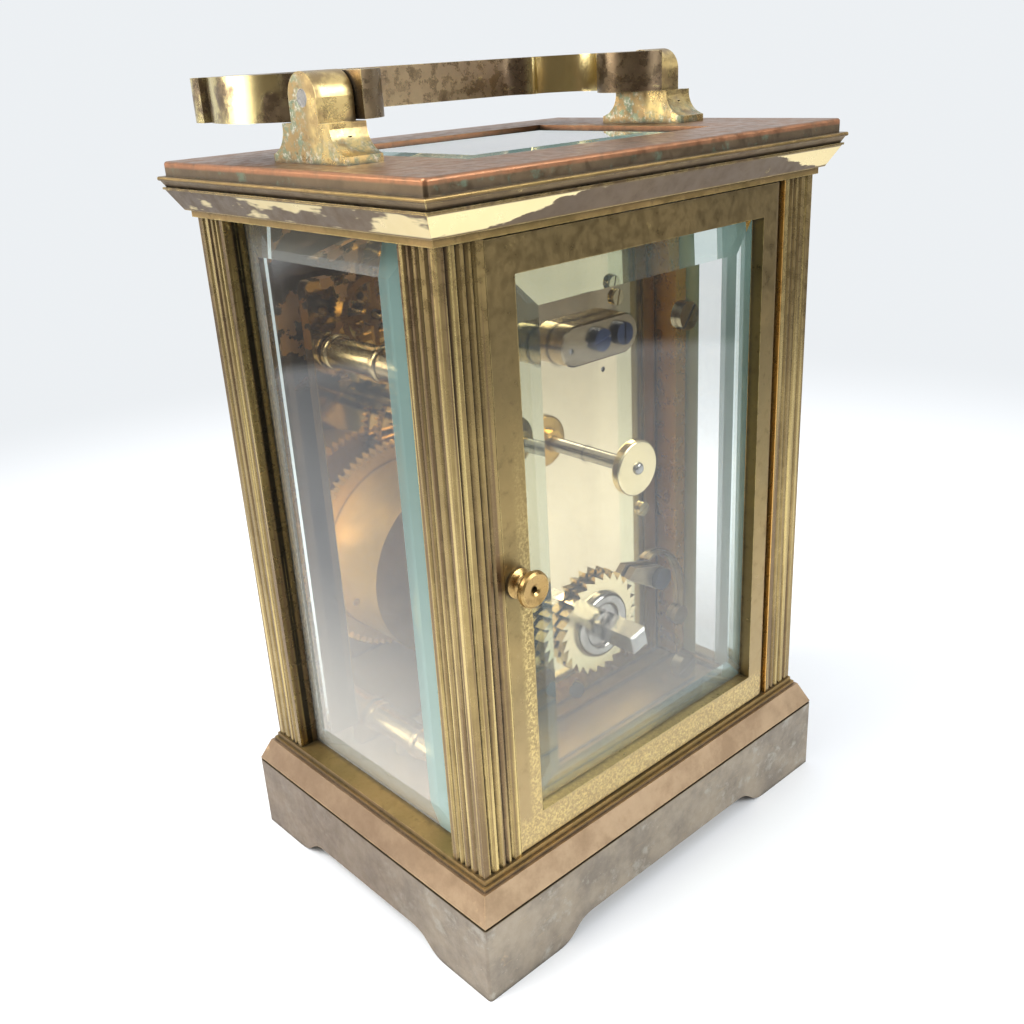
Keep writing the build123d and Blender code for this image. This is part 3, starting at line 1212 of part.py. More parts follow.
def balance_staff():
    """Staff with a pivot at each end and the half-cut cylinder the escape wheel works on."""
    x, y = BALANCE_AXIS
    low, high = PLATFORM_HIGH + SHAKE, COCK_Z[0] - SHAKE
    body = disc_z((x, y), 0.35, ESCAPE_Z[1] + 0.3, high)
    tube = disc_z((x, y), CYLINDER, low, ESCAPE_Z[1] + 0.3)
    bore = disc_z((x, y), CYLINDER - 0.15, ESCAPE_Z[0] - 0.25, ESCAPE_Z[1] + 0.05)
    cut = block(x, x + 1.0, y - 1.0, y + 1.0, ESCAPE_Z[0] - 0.25, ESCAPE_Z[1] + 0.05)
    body += tube - bore - cut
    body += disc_z((x, y), 0.25, PLATFORM_HIGH - 0.9, low)
    body += disc_z((x, y), 0.2, high, COCK_Z[0] + 0.8)
    return body + disc_z((x, y), 0.8, HAIRSPRING_Z[0] - 0.15, HAIRSPRING_Z[1] + 0.15)


def hairspring():
    strip = spiral(1.1, 3.6, 8, 0.1)
    z0, z1 = HAIRSPRING_Z
    return Pos(*BALANCE_AXIS, z0) * extrude(make_face(strip), z1 - z0)


def balance_cock():
    x, y = BALANCE_AXIS
    z0, z1 = COCK_Z
    foot = BALANCE_COCK_FOOT
    body = block(foot, x, y - 1.6, y + 1.6, z0, z1) + disc_z((x, y), 2.4, z0, z1)
    body += block(foot - 1.8, foot + 1.8, y - 3.2, y + 3.2, PLATFORM_HIGH, z1)
    body += disc_z((x, y), 1.3, z1, z1 + 0.5)
    body -= disc_z((x, y), 0.2 + RUN_FIT, z0, z0 + 1.0)
    return body - disc_z((foot, y), 0.5, PLATFORM_HIGH, z1)


def cock_feet_screws():
    (balance_x, balance_y), (escape_x, escape_y) = platform_cock_spots()
    long_screw = slotted_screw_z((balance_x, balance_y), 1.3, 0.5, COCK_Z[1], 0.8, 7.4, 70)
    short_screw = slotted_screw_z((escape_x, escape_y), 1.2, 0.5, ESCAPE_COCK_Z[1], 0.7, 3.6, 20)
    return group([long_screw, short_screw])


def regulator_index():
    """Index that turns about the boss on the balance cock."""
    x, y = BALANCE_AXIS
    z0, z1 = REGULATOR_Z[0] + 0.04, REGULATOR_Z[1] + 0.04
    body = disc_z((x, y), 2.2, z0, z1) + Pos(x, y, 0) * block(-0.3, 0.3, 0, 7.0, z0, z1)
    body += Pos(x, y, 0) * block(1.5, 4.0, -0.4, 0.4, z0, z1)
    return body - disc_z((x, y), 1.3 + RUN_FIT, z0, z1)


# --- Output -------------------------------------------------------------------------------------
NODES = {
    "plinth": plinth,
    "bottom_plate": bottom_plate,
    "bottom_plate_screws": bottom_plate_screws,
    "corner_pillars": corner_pillars,
    "pillar_screws": pillar_screws,
    "cornice": cornice,
    "top_glass": top_glass,
    "side_glasses": side_glasses,
    "front_glass": front_glass,
    "door_frame": door_frame,
    "door_glass": door_glass,
    "door_knob": door_knob,
    "door_hinge_pins": door_hinge_pins,
    "handle_posts": handle_posts,
    "handle_post_screws": handle_post_screws,
    "handle": handle,
    "handle_pins": handle_pins,
    "back_plate": back_plate,
    "front_plate": front_plate,
    "movement_pillars": movement_pillars,
    "movement_pillar_screws": movement_pillar_screws,
    "movement_screws": movement_screws,
    "back_plate_screws": back_plate_screws,
    "contrate_cock": contrate_cock,
    "cock_screws": cock_screws,
    "barrel_drum": barrel_drum,
    "barrel_cover": barrel_cover,
    "mainspring": mainspring,
    "winding_arbor": winding_arbor,
    "ratchet_wheel": ratchet_wheel,
    "ratchet_keeper": ratchet_keeper,
    "click": click,
    "click_screw": click_screw,
    "click_spring": click_spring,
    "intermediate_wheel": intermediate_wheel,
    "intermediate_arbor": intermediate_arbor,
    "centre_wheel": centre_wheel,
    "centre_pinion": centre_pinion,
    "third_wheel": third_wheel,
    "third_arbor": third_arbor,
    "contrate_wheel": contrate_wheel,
    "contrate_arbor": contrate_arbor,
    "centre_arbor": centre_arbor,
    "setting_knob": setting_knob,
    "cannon_pinion": cannon_pinion,
    "minute_wheel": minute_wheel,
    "hour_wheel": hour_wheel,
    "hour_hand": hour_hand,
    "minute_hand": lambda: group([minute_hand(), hand_nut()]),
    "dial": dial,
    "dial_mask": dial_mask,
    "front_plate_studs": lambda: group([mask_pillars(), minute_wheel_post()]),
    "platform": platform,
    "platform_screws": lambda: group([platform_screws(), cock_feet_screws()]),
    "escape_wheel": lambda: group([escape_wheel(), escape_pinion()]),
    "escape_cocks": lambda: group([escape_cock(), escape_potence()]),
    "balance_wheel": lambda: group([balance_wheel(), balance_staff()]),
    "hairspring": hairspring,
    "balance_cock": balance_cock,
    "regulator_index": regulator_index,
}

os.makedirs("parts", exist_ok=True)
for node, make in NODES.items():
    export_step(make(), f"parts/{node}.step")
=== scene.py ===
"""Looks, light and camera for the carriage clock. Metres, in the CAD's frame."""
import math

import bpy
from mathutils import Matrix, Vector


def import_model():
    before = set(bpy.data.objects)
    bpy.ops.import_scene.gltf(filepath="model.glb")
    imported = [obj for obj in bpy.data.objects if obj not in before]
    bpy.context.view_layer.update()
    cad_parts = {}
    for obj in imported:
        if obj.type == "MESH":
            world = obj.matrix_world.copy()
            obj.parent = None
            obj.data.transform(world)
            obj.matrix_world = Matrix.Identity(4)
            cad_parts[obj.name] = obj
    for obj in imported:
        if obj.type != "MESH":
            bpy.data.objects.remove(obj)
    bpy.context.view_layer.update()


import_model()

MM = 0.001
scene = bpy.context.scene

# Heights on the case in millimetres, where its mouldings change
PLINTH_SIDE_TOP = 13.0
SLANT = (107.95, 110.5)  # just inside the cornice's slanted face
SLAB_BOTTOM = 112.5
SLAB_TOP = 114.5


# --- Shader building ------------------------------------------------------------------------------
class Mat:
    """A material with short names for its nodes. Its coordinates are the part's own, in millimetres."""

    def __init__(self, name):
        self.mat = bpy.data.materials.new(name)
        self.mat.use_nodes = True
        self.tree = self.mat.node_tree
        self.tree.nodes.clear()
        self.out = self.add("ShaderNodeOutputMaterial")
        self.bsdf = self.add("ShaderNodeBsdfPrincipled")
        self.link(self.bsdf.outputs[0], self.out.inputs[0])
        texture = self.add("ShaderNodeTexCoord")
        self.point = self.scaled(texture.outputs["Object"], (1000, 1000, 1000))
        split = self.add("ShaderNodeSeparateXYZ")
        self.link(self.point, split.inputs[0])
        self.x, self.y, self.z = split.outputs

    def add(self, kind, **settings):
        made = self.tree.nodes.new(kind)
        for key, value in settings.items():
            setattr(made, key, value)
        return made

    def link(self, source, target):
        self.tree.links.new(source, target)

    def feed(self, target, value):
        if isinstance(value, (int, float)):
            target.default_value = value
        elif isinstance(value, (tuple, list)):
            target.default_value = (*value, 1.0)[: len(target.default_value)]
        else:
            self.link(value, target)

    def scaled(self, vector, scale):
        mapping = self.add("ShaderNodeMapping")
        self.link(vector, mapping.inputs["Vector"])
        mapping.inputs["Scale"].default_value = scale
        return mapping.outputs[0]

    def noise(self, scale, detail=4.0, rough=0.55, stretch=None, seed=0.0):
        made = self.add("ShaderNodeTexNoise", noise_dimensions="4D")
        source = self.scaled(self.point, stretch) if stretch else self.point
        self.link(source, made.inputs["Vector"])
        made.inputs["W"].default_value = seed
        made.inputs["Scale"].default_value = scale
        made.inputs["Detail"].default_value = detail
        made.inputs["Roughness"].default_value = rough
        return made.outputs["Fac"]

    def math(self, operation, a, b=0.0, c=None):
        made = self.add("ShaderNodeMath", operation=operation)
        self.feed(made.inputs[0], a)
        self.feed(made.inputs[1], b)
        if c is not None:
            self.feed(made.inputs[2], c)
        return made.outputs[0]

    def times(self, *factors):
        result = factors[0]
        for factor in factors[1:]:
            result = self.math("MULTIPLY", result, factor)
        return result

    def most(self, *values):
        result = values[0]
        for value in values[1:]:
            result = self.math("MAXIMUM", result, value)
        return result

    def step(self, value, low, high, bottom=0.0, top=1.0):
        """Smooth step of a value from `low` to `high`; `low` may be the larger."""
        made = self.add("ShaderNodeMapRange", interpolation_type="SMOOTHSTEP")
        self.feed(made.inputs["Value"], value)
        for key, number in zip(("From Min", "From Max", "To Min", "To Max"), (low, high, bottom, top)):
            made.inputs[key].default_value = number
        return made.outputs[0]

    def band(self, value, low, high, soft=0.15):
        rise = self.step(value, low - soft, low + soft)
        return self.times(rise, self.step(value, high + soft, high - soft))

    def mix(self, factor, a, b):
        made = self.add("ShaderNodeMix", data_type="RGBA")
        self.feed(made.inputs["Factor"], factor)
        self.feed(made.inputs[6], a)
        self.feed(made.inputs[7], b)
        return made.outputs[2]

    def blend(self, factor, a, b):
        made = self.add("ShaderNodeMix", data_type="FLOAT")
        self.feed(made.inputs["Factor"], factor)
        self.feed(made.inputs[2], a)
        self.feed(made.inputs[3], b)
        return made.outputs[0]

    def edges(self, radius, low=0.02, high=0.25):
        """1 on sharp edges of the surface within a radius in millimetres."""
        bevel = self.add("ShaderNodeBevel", samples=6)
        bevel.inputs["Radius"].default_value = radius * MM
        geometry = self.add("ShaderNodeNewGeometry")
        dot = self.add("ShaderNodeVectorMath", operation="DOT_PRODUCT")
        self.link(bevel.outputs[0], dot.inputs[0])
        self.link(geometry.outputs["Normal"], dot.inputs[1])
        return self.step(self.math("SUBTRACT", 1.0, dot.outputs["Value"]), low, high)

    def crevices(self, distance, low=0.85, high=0.45):
        """1 in corners that are closed in within a distance in millimetres."""
        occlusion = self.add("ShaderNodeAmbientOcclusion", samples=6)
        occlusion.inputs["Distance"].default_value = distance * MM
        return self.step(occlusion.outputs["AO"], low, high)

    def normal_axes(self):
        texture = self.add("ShaderNodeTexCoord")
        split = self.add("ShaderNodeSeparateXYZ")
        self.link(texture.outputs["Normal"], split.inputs[0])
        return split.outputs

    def bump(self, height, strength=0.3, distance=0.1):
        made = self.add("ShaderNodeBump")
        made.inputs["Strength"].default_value = strength
        made.inputs["Distance"].default_value = distance * MM
        self.link(height, made.inputs["Height"])
        self.link(made.outputs[0], self.bsdf.inputs["Normal"])

    def set(self, **values):
        names = {"color": "Base Color", "metal": "Metallic", "rough": "Roughness", "ior": "IOR",
                 "coat": "Coat Weight", "coat_rough": "Coat Roughness", "clear": "Transmission Weight"}
        for key, value in values.items():
            self.feed(self.bsdf.inputs[names[key]], value)
        return self.mat


def dress(node, *materials):
    """Give a CAD node its materials."""
    slots = bpy.data.objects[node].data.materials
    slots.clear()
    for material in materials:
        slots.append(material)


# --- Brass ----------------------------------------------------------------------------------------
DULL = (0.34, 0.225, 0.088)
DARK = (0.070, 0.045, 0.022)
OLIVE = (0.25, 0.175, 0.062)
BRIGHT = (0.84, 0.65, 0.27)
PALE = (0.98, 0.83, 0.50)
TAN = (0.44, 0.275, 0.140)
AMBER = (0.76, 0.43, 0.11)
GREEN = (0.17, 0.23, 0.16)
CHALK = (0.55, 0.54, 0.46)


def aged_brass(name, base=DULL, second=OLIVE, worn=BRIGHT, edge=0.35, edge_amount=0.8, grime_and_shade_reach=1.2,
               patches=(0.64, 0.74), patch_scale=0.16, spotted=0.5, seed=0.0, extra=None, rough=0.36):
    """Old lacquer and patina on brass, rubbed through on edges and in patches, with grime and painted shade
    in its crevices.
    """
    m = Mat(name)
    cloud = m.noise(0.07, 5, 0.6, seed=seed)
    mottle = m.noise(0.55, 6, 0.65, seed=seed + 3)
    fine = m.noise(4.0, 5, 0.7, seed=seed + 5)
    color = m.mix(m.step(cloud, 0.35, 0.65), base, second)
    color = m.mix(m.times(m.step(mottle, 0.54, 0.74), spotted), color, DARK)
    color = m.mix(m.times(m.step(fine, 0.52, 0.66), 0.22), color, TAN)
    patch = m.step(m.noise(patch_scale, 6, 0.68, seed=seed + 8), *patches)
    patch = m.times(patch, m.step(m.noise(2.6, 4, 0.7, seed=seed + 11), 0.36, 0.52))
    rim = m.times(m.edges(edge), m.step(m.noise(0.35, 5, 0.6, seed=seed + 13), 0.38, 0.55), edge_amount)
    wear = m.most(patch, rim)
    if extra:
        color, wear = extra(m, color, wear)
    color = m.mix(wear, color, worn)
    # Grime and painted shade: an ambient-occlusion mask, varied with noise, darkens crevices almost to black.
    grime_and_painted_shade = m.times(m.crevices(grime_and_shade_reach), m.step(mottle, 0.30, 0.62, 0.55, 1.0))
    color = m.mix(grime_and_painted_shade, color, (0.030, 0.024, 0.016))
    pits = m.noise(7.0, 4, 0.7, seed=seed + 31)
    scratch = m.noise(1.0, 3, 0.6, stretch=(0.6, 7.0, 7.0), seed=seed + 33)
    m.bump(m.math("ADD", pits, m.times(scratch, 0.5)), 0.22, 0.05)
    return m.set(
        color=color,
        metal=m.blend(wear, m.step(grime_and_painted_shade, 0.0, 1.0, 0.9, 0.3), 1.0),
        rough=m.blend(wear, m.step(mottle, 0.3, 0.7, rough - 0.08, rough + 0.14), 0.22),
    )


def rear_side(m):
    """1 on the case faces that look to +Y and 0 on those that look to +X."""
    return m.step(m.math("SUBTRACT", m.y, m.x), -9.9, -9.8)


def cornice_wear_and_painted_reflection(m, color, wear):
    """Copper-brown slab, dark mouldings and pale rubbed patches on the slanted face; the patches carry a
    painted reflection of the floor.
    """
    ragged = m.math("SUBTRACT", m.noise(0.45, 5, 0.6, stretch=(0.5, 0.5, 2.0), seed=52), 0.5)
    slab = m.step(m.z, SLAB_BOTTOM - 0.15, SLAB_BOTTOM + 0.1)
    clouds = m.step(m.noise(0.13, 5, 0.62, seed=41), 0.38, 0.62)
    color = m.mix(slab, color, m.mix(clouds, (0.135, 0.098, 0.060), (0.175, 0.125, 0.074)))
    top = m.step(m.z, SLAB_TOP - 0.5, SLAB_TOP - 0.15)
    color = m.mix(top, color, m.mix(clouds, (0.105, 0.088, 0.060), (0.165, 0.112, 0.068)))
    rubbing = m.step(m.noise(0.5, 4, 0.6, seed=40), 0.30, 0.55, 0.45, 1.0)
    rubbed = m.times(m.band(m.z, 113.7, 114.5, 0.2), rubbing)
    color = m.mix(m.times(rubbed, slab), color, (0.36, 0.170, 0.088))
    bloom = m.times(m.step(m.noise(0.35, 5, 0.7, seed=44), 0.55, 0.68), m.band(m.z, 112.5, 113.7, 0.2))
    color = m.mix(m.times(bloom, 0.7), color, GREEN)
    moulding = m.times(m.step(m.z, 112.3, 112.0), m.step(m.z, 107.6, 107.9))
    color = m.mix(m.times(moulding, 0.75), color, m.mix(clouds, (0.098, 0.067, 0.048), (0.150, 0.106, 0.064)))
    slanted = m.band(m.z, *SLANT, 0.1)
    color = m.mix(m.times(slanted, 0.6), color, (0.135, 0.100, 0.074))
    depth = m.math("ADD", m.z, m.times(ragged, 3.0))
    near_low = m.step(m.math("SUBTRACT", depth, m.times(m.step(m.x, 33.0, 12.0), 2.9)), 107.7, 107.95)
    near = m.times(m.step(m.x, 11.0, 14.0), near_low)
    far_low = m.step(m.math("SUBTRACT", depth, m.times(m.step(m.x, -38.0, -20.0), 2.6)), 107.9, 108.1)
    far = m.times(m.step(m.x, -20.0, -24.0), far_low)
    left_run = m.step(m.noise(0.11, 4, 0.55, stretch=(0.8, 0.8, 3.4), seed=54.3), 0.47, 0.53)
    side = rear_side(m)
    # Pale patches: lacquer rubbed through, with a painted reflection of the white floor in their pale colour.
    pale = m.times(slanted, m.most(m.times(side, m.most(near, far)),
                                   m.times(m.math("SUBTRACT", 1.0, side), left_run, 0.62)))
    wear = m.times(wear, m.step(m.z, 112.2, 112.5, 1.0, 0.15))
    color = m.mix(pale, color, PALE)
    return color, m.most(wear, m.times(pale, 0.45))


def plinth_wear_and_painted_shade(m, color, wear):
    """Copper-tan slope over a brown-grey, scratched side, with painted shade on the faces that look to +X."""
    clouds = m.step(m.noise(0.16, 5, 0.62, seed=61), 0.36, 0.64)
    slope = m.band(m.z, 13.2, 17.4, 0.1)
    color = m.mix(slope, color, m.mix(clouds, (0.27, 0.185, 0.112), (0.37, 0.265, 0.165)))
    side = m.step(m.z, PLINTH_SIDE_TOP + 0.05, PLINTH_SIDE_TOP - 0.15)
    grey = m.mix(clouds, (0.360, 0.305, 0.235), (0.240, 0.205, 0.165))
    blotch = m.step(m.noise(0.28, 6, 0.7, seed=63), 0.54, 0.66)
    grey = m.mix(m.times(blotch, 0.6), grey, (0.44, 0.42, 0.36))
    specks = m.step(m.noise(2.6, 4, 0.75, seed=64), 0.64, 0.70)
    grey = m.mix(m.times(specks, 0.8), grey, (0.62, 0.54, 0.40))
    lines = m.step(m.noise(1.1, 3, 0.6, stretch=(0.25, 0.25, 5.0), seed=65), 0.64, 0.70)
    grey = m.mix(m.times(lines, 0.45), grey, (0.50, 0.38, 0.22))
    color = m.mix(side, color, grey)
    # Painted shade: faces that look to +X are darkened, more so towards lower y.
    painted_shade_left = m.times(m.step(m.normal_axes()[0], 0.25, 0.55), m.step(m.y, 22.0, 2.0, 0.25, 1.0))
    color = m.mix(m.times(painted_shade_left, 0.55), color, (0.150, 0.100, 0.066))
    seam = m.band(m.z, PLINTH_SIDE_TOP - 0.1, PLINTH_SIDE_TOP + 0.12, 0.1)
    color = m.mix(m.times(seam, 0.7), color, (0.045, 0.033, 0.02))
    return color, m.times(wear, m.step(m.z, 13.0, 13.5, 0.35, 0.8))


def door_wear_shade_and_reflection(m, color, wear):
    """Granular bright wear on the knob's stile and along the bottom rail, with painted shade towards the top
    and a painted reflection of the floor towards the bottom.
    """
    stile = m.times(m.step(m.x, 24.9, 25.3), m.step(m.x, 27.6, 26.4), m.step(m.z, 90.0, 45.0))
    bottom = m.step(m.z, 24.6, 22.6)
    grains = m.step(m.noise(2.3, 6, 0.8, seed=71), 0.44, 0.60)
    # Painted shade: darker towards the top rail.
    color = m.mix(m.step(m.z, 60.0, 105.0, 0.0, 0.55), color, (0.110, 0.078, 0.036))
    # Painted reflection of the white floor: lighter towards the bottom.
    color = m.mix(m.step(m.z, 60.0, 20.0, 0.0, 0.6), color, (0.50, 0.37, 0.20))
    return color, m.most(m.times(wear, 0.7), m.times(m.most(stile, bottom), grains, 0.65))


def reed_wear_and_painted_shade(m, color, wear):
    """Bright vertical rubbing along the reeds and brown lacquer between, with a painted shade strip beside
    the side pane.
    """
    streak = m.noise(1.0, 2, 0.45, stretch=(1.6, 1.6, 0.016), seed=81)
    brown = m.step(m.noise(0.7, 2, 0.45, stretch=(1.4, 1.4, 0.02), seed=83), 0.44, 0.60)
    color = m.mix(m.times(brown, 0.8), color, (0.165, 0.105, 0.060))
    inner = m.most(m.step(m.math("ABSOLUTE", m.x), 30.1, 29.9), m.step(m.math("ABSOLUTE", m.y), 20.6, 20.4))
    inner = m.times(inner, m.step(m.x, 1.0, -1.0))
    color = m.mix(inner, color, AMBER)
    # Painted shade: a near-black strip on the pillar's reveal beside the side pane.
    painted_reveal_shade = m.times(m.band(m.y, -20.5, -20.0, 0.1), m.band(m.x, 34.6, 35.6, 0.15))
    color = m.mix(painted_reveal_shade, color, (0.035, 0.028, 0.018))
    return color, m.times(m.most(m.times(wear, 0.6), m.times(m.step(streak, 0.52, 0.66), 0.6)),
                          m.math("SUBTRACT", 1.0, inner))


def handle_wear(m, color, wear):
    """Brown bronze, rubbed bright on the outer side of one arm and the hollow of the other."""
    clouds = m.step(m.noise(0.16, 5, 0.6, seed=92.5), 0.40, 0.50)
    outer = m.times(m.step(m.x, 33.4, 34.6), m.step(m.y, -2.5, -4.5), clouds)
    hollow = m.times(m.band(m.y, -21.0, -8.5, 0.8), m.band(m.x, -31.5, -23.0, 0.5))
    upright = m.step(m.math("ABSOLUTE", m.normal_axes()[2]), 0.7, 0.4)
    grip = m.times(m.step(m.noise(0.35, 5, 0.7, stretch=(0.5, 1, 2), seed=94), 0.60, 0.72), 0.5)
    return color, m.most(m.times(wear, 0.6), m.times(m.most(outer, hollow), upright, 0.9), grip)


def post_wear(m, color, wear):
    """Golden on one side, verdigris and chalky residue at the feet on the other."""
    foot = m.step(m.z, 119.0, 115.2)
    front = m.step(m.y, 1.5, -1.5)
    bloom = m.step(m.noise(0.8, 6, 0.72, seed=96), 0.44, 0.58)
    green = m.times(bloom, m.most(m.times(foot, 0.8), m.times(front, 0.9)))
    color = m.mix(green, color, m.mix(m.step(m.noise(1.9, 4, 0.7, seed=97), 0.5, 0.62), GREEN, CHALK))
    golden = m.times(m.step(m.y, 0.5, 2.0), m.step(m.noise(0.3, 4, 0.6, seed=98), 0.40, 0.56), 0.7)
    clean = m.math("SUBTRACT", 1.0, green)
    return color, m.times(m.most(m.times(wear, 0.7), m.times(golden, 0.7)), clean)


dress("cornice", aged_brass("cornice_brass", edge_amount=0.9, extra=cornice_wear_and_painted_reflection, seed=1))
dress("plinth", aged_brass("plinth_brass", edge_amount=0.45, worn=(0.62, 0.42, 0.22), extra=plinth_wear_and_painted_shade,
                           seed=2, rough=0.46))
dress("corner_pillars", aged_brass("pillar_brass", base=(0.36, 0.260, 0.105), second=(0.26, 0.185, 0.076),
                                   grime_and_shade_reach=0.6, edge=0.12, edge_amount=0.7, patches=(0.76, 0.86),
                                   spotted=0.1, extra=reed_wear_and_painted_shade, seed=3, rough=0.27))
dress("door_frame", aged_brass("door_brass", base=(0.335, 0.240, 0.098), second=(0.250, 0.185, 0.078),
                               extra=door_wear_shade_and_reflection, seed=4, rough=0.34))
dress("door_knob", aged_brass("knob_brass", base=(0.60, 0.40, 0.15), second=(0.42, 0.27, 0.10), seed=5,
                              rough=0.26))
dress("handle", aged_brass("handle_brass", base=(0.270, 0.200, 0.115), second=(0.190, 0.135, 0.088),
                           worn=(0.84, 0.70, 0.34), patches=(0.78, 0.86), spotted=0.15,
                           extra=handle_wear, seed=6, rough=0.26))
dress("handle_posts", aged_brass("post_brass", base=(0.34, 0.235, 0.105), second=(0.22, 0.165, 0.085),
                                 extra=post_wear, seed=7, rough=0.32))


def bright_brass(name, base, rough, metal_grain=(1.0, 1.0, 12.0), tarnish=0.25, seed=0.0, relief=0.10,
                 shine=1.0):
    """Cleaner brass inside the case, with fine brushing, a little tarnish and painted shade in its crevices.
    """
    m = Mat(name)
    cloud = m.noise(0.12, 5, 0.6, seed=seed)
    spots = m.step(m.noise(0.8, 6, 0.7, seed=seed + 2), 0.60, 0.72)
    brushing = m.noise(2.0, 3, 0.6, stretch=metal_grain, seed=seed + 4)
    deep = tuple(0.55 * c for c in base)
    color = m.mix(m.times(m.step(cloud, 0.4, 0.7), tarnish), base, deep)
    color = m.mix(m.times(spots, tarnish), color, (0.20, 0.13, 0.06))
    # Painted shade: crevices within 0.8 mm are darkened towards a near-black brown.
    color = m.mix(m.times(m.crevices(0.8), 0.7), color, (0.06, 0.045, 0.025))
    m.bump(brushing, relief, 0.03)
    return m.set(color=color, metal=shine, rough=m.step(brushing, 0.3, 0.7, rough * 0.8, rough * 1.3))


def patchy_brass(name, seed, mirror, deep, light):
    """Darkened brass, polished as far as `mirror` says, with ragged orange patches near the top.

    The side that faces the front is clean satin gilt.
    """
    m = Mat(name)
    ragged = m.noise(0.85, 6, 0.75, seed=seed)
    fringe = m.times(m.math("SUBTRACT", ragged, 0.5), 0.26)
    islands = m.math("ADD", m.noise(0.24, 2, 0.4, seed=seed + 1.6), fringe)
    patch = m.times(m.step(islands, 0.55, 0.565), m.step(m.z, 78.0, 84.0))
    dark = m.mix(m.step(m.noise(0.1, 5, 0.6, seed=seed + 3), 0.3, 0.7), deep, light)
    color = m.mix(patch, dark, (0.40, 0.20, 0.07))
    front = m.step(m.normal_axes()[1], -0.4, -0.6)
    grain = m.noise(2.2, 5, 0.7, seed=seed + 6)
    gilt = m.mix(m.step(grain, 0.35, 0.65), (0.72, 0.53, 0.24), (0.62, 0.44, 0.19))
    color = m.mix(front, color, gilt)
    patch = m.times(patch, m.math("SUBTRACT", 1.0, front))
    m.bump(m.blend(front, ragged, grain), 0.03, 0.02)
    return m.set(color=color, metal=m.blend(patch, 1.0, 0.5),
                 rough=m.blend(patch, m.blend(front, mirror, 0.34), 0.4))


plate_brass = bright_brass("plate_brass", (0.80, 0.665, 0.42), 0.03, tarnish=0.10, seed=10, relief=0.03)
wheel_brass = bright_brass("wheel_brass", (0.74, 0.52, 0.23), 0.30, tarnish=0.35, seed=11)
inner_brass = bright_brass("inner_brass", (0.50, 0.37, 0.18), 0.22, tarnish=0.5, seed=12)
pale_brass = bright_brass("pale_brass", (0.86, 0.72, 0.42), 0.18, tarnish=0.3, seed=13)
cock_brass = bright_brass("cock_brass", (0.34, 0.27, 0.165), 0.2, tarnish=0.5, seed=14)
barrel_brass = bright_brass("barrel_brass", (0.88, 0.62, 0.27), 0.34, tarnish=0.3, seed=17, shine=0.55)
dress("back_plate", plate_brass)
dress("front_plate", patchy_brass("front_plate_brass", 15, 0.04, (0.62, 0.50, 0.31), (0.74, 0.60, 0.38)))
dress("dial_mask", patchy_brass("mask_brass", 16, 0.22, (0.070, 0.052, 0.040), (0.125, 0.090, 0.062)))
dress("contrate_cock", cock_brass)
for node in ("ratchet_wheel", "setting_knob"):
    dress(node, pale_brass)
for node in ("barrel_drum", "barrel_cover"):
    dress(node, barrel_brass)
for node in ("platform", "balance_cock", "escape_cocks", "balance_wheel", "front_plate_studs",
             "movement_pillars"):
    dress(node, inner_brass)
for node in ("bottom_plate", "intermediate_wheel", "centre_wheel", "third_wheel",
             "contrate_wheel", "minute_wheel", "hour_wheel"):
    dress(node, wheel_brass)


# --- Steel, enamel and glass ----------------------------------------------------------------------
def steel(name, base, rough, seed, other=None):
    """Polished steel; `other` is the colour of the parts above a height of 45 mm."""
    m = Mat(name)
    cloud = m.noise(0.6, 5, 0.6, seed=seed)
    polish = m.noise(5.0, 3, 0.6, stretch=(1, 8, 1), seed=seed + 2)
    if other:
        tone = m.mix(m.step(m.z, 44.0, 46.0), base, other)
    else:
        tone = m.mix(m.step(cloud, 0.4, 0.7), base, tuple(0.72 * c for c in base))
    # Painted highlight: edges get a lighter copy of the base colour.
    color = m.mix(m.times(m.edges(0.15), 0.5), tone, tuple(min(1.0, 1.5 * c + 0.1) for c in base))
    m.bump(polish, 0.08, 0.02)
    return m.set(color=color, metal=1.0, rough=m.step(polish, 0.3, 0.7, rough * 0.8, rough * 1.4))


BLUE = (0.050, 0.066, 0.120)
bright_steel = steel("bright_steel", (0.42, 0.41, 0.39), 0.18, 20)
keeper_steel = steel("keeper_steel", (0.40, 0.37, 0.33), 0.10, 22)
blued_steel = steel("blued_steel", BLUE, 0.20, 21)
plate_screw_steel = steel("plate_screw_steel", BLUE, 0.18, 23, other=(0.62, 0.52, 0.30))
brown_steel = steel("brown_steel", (0.30, 0.235, 0.150), 0.30, 24)
dress("ratchet_keeper", keeper_steel)
dress("back_plate_screws", plate_screw_steel)
for node in ("bottom_plate_screws", "pillar_screws", "handle_post_screws", "movement_pillar_screws",
             "movement_screws", "winding_arbor", "intermediate_arbor", "centre_pinion",
             "third_arbor", "contrate_arbor", "centre_arbor", "cannon_pinion", "escape_wheel",
             "regulator_index", "door_hinge_pins", "handle_pins"):
    dress(node, bright_steel)
for node in ("click", "click_spring"):
    dress(node, brown_steel)
for node in ("cock_screws", "click_screw", "hour_hand", "minute_hand", "hairspring",
             "platform_screws", "mainspring"):
    dress(node, blued_steel)


DIAL_CENTRE_Z = 69.1     # height of the hands' axis
INK_BLUR = 0.04          # half the width over which a printed edge fades


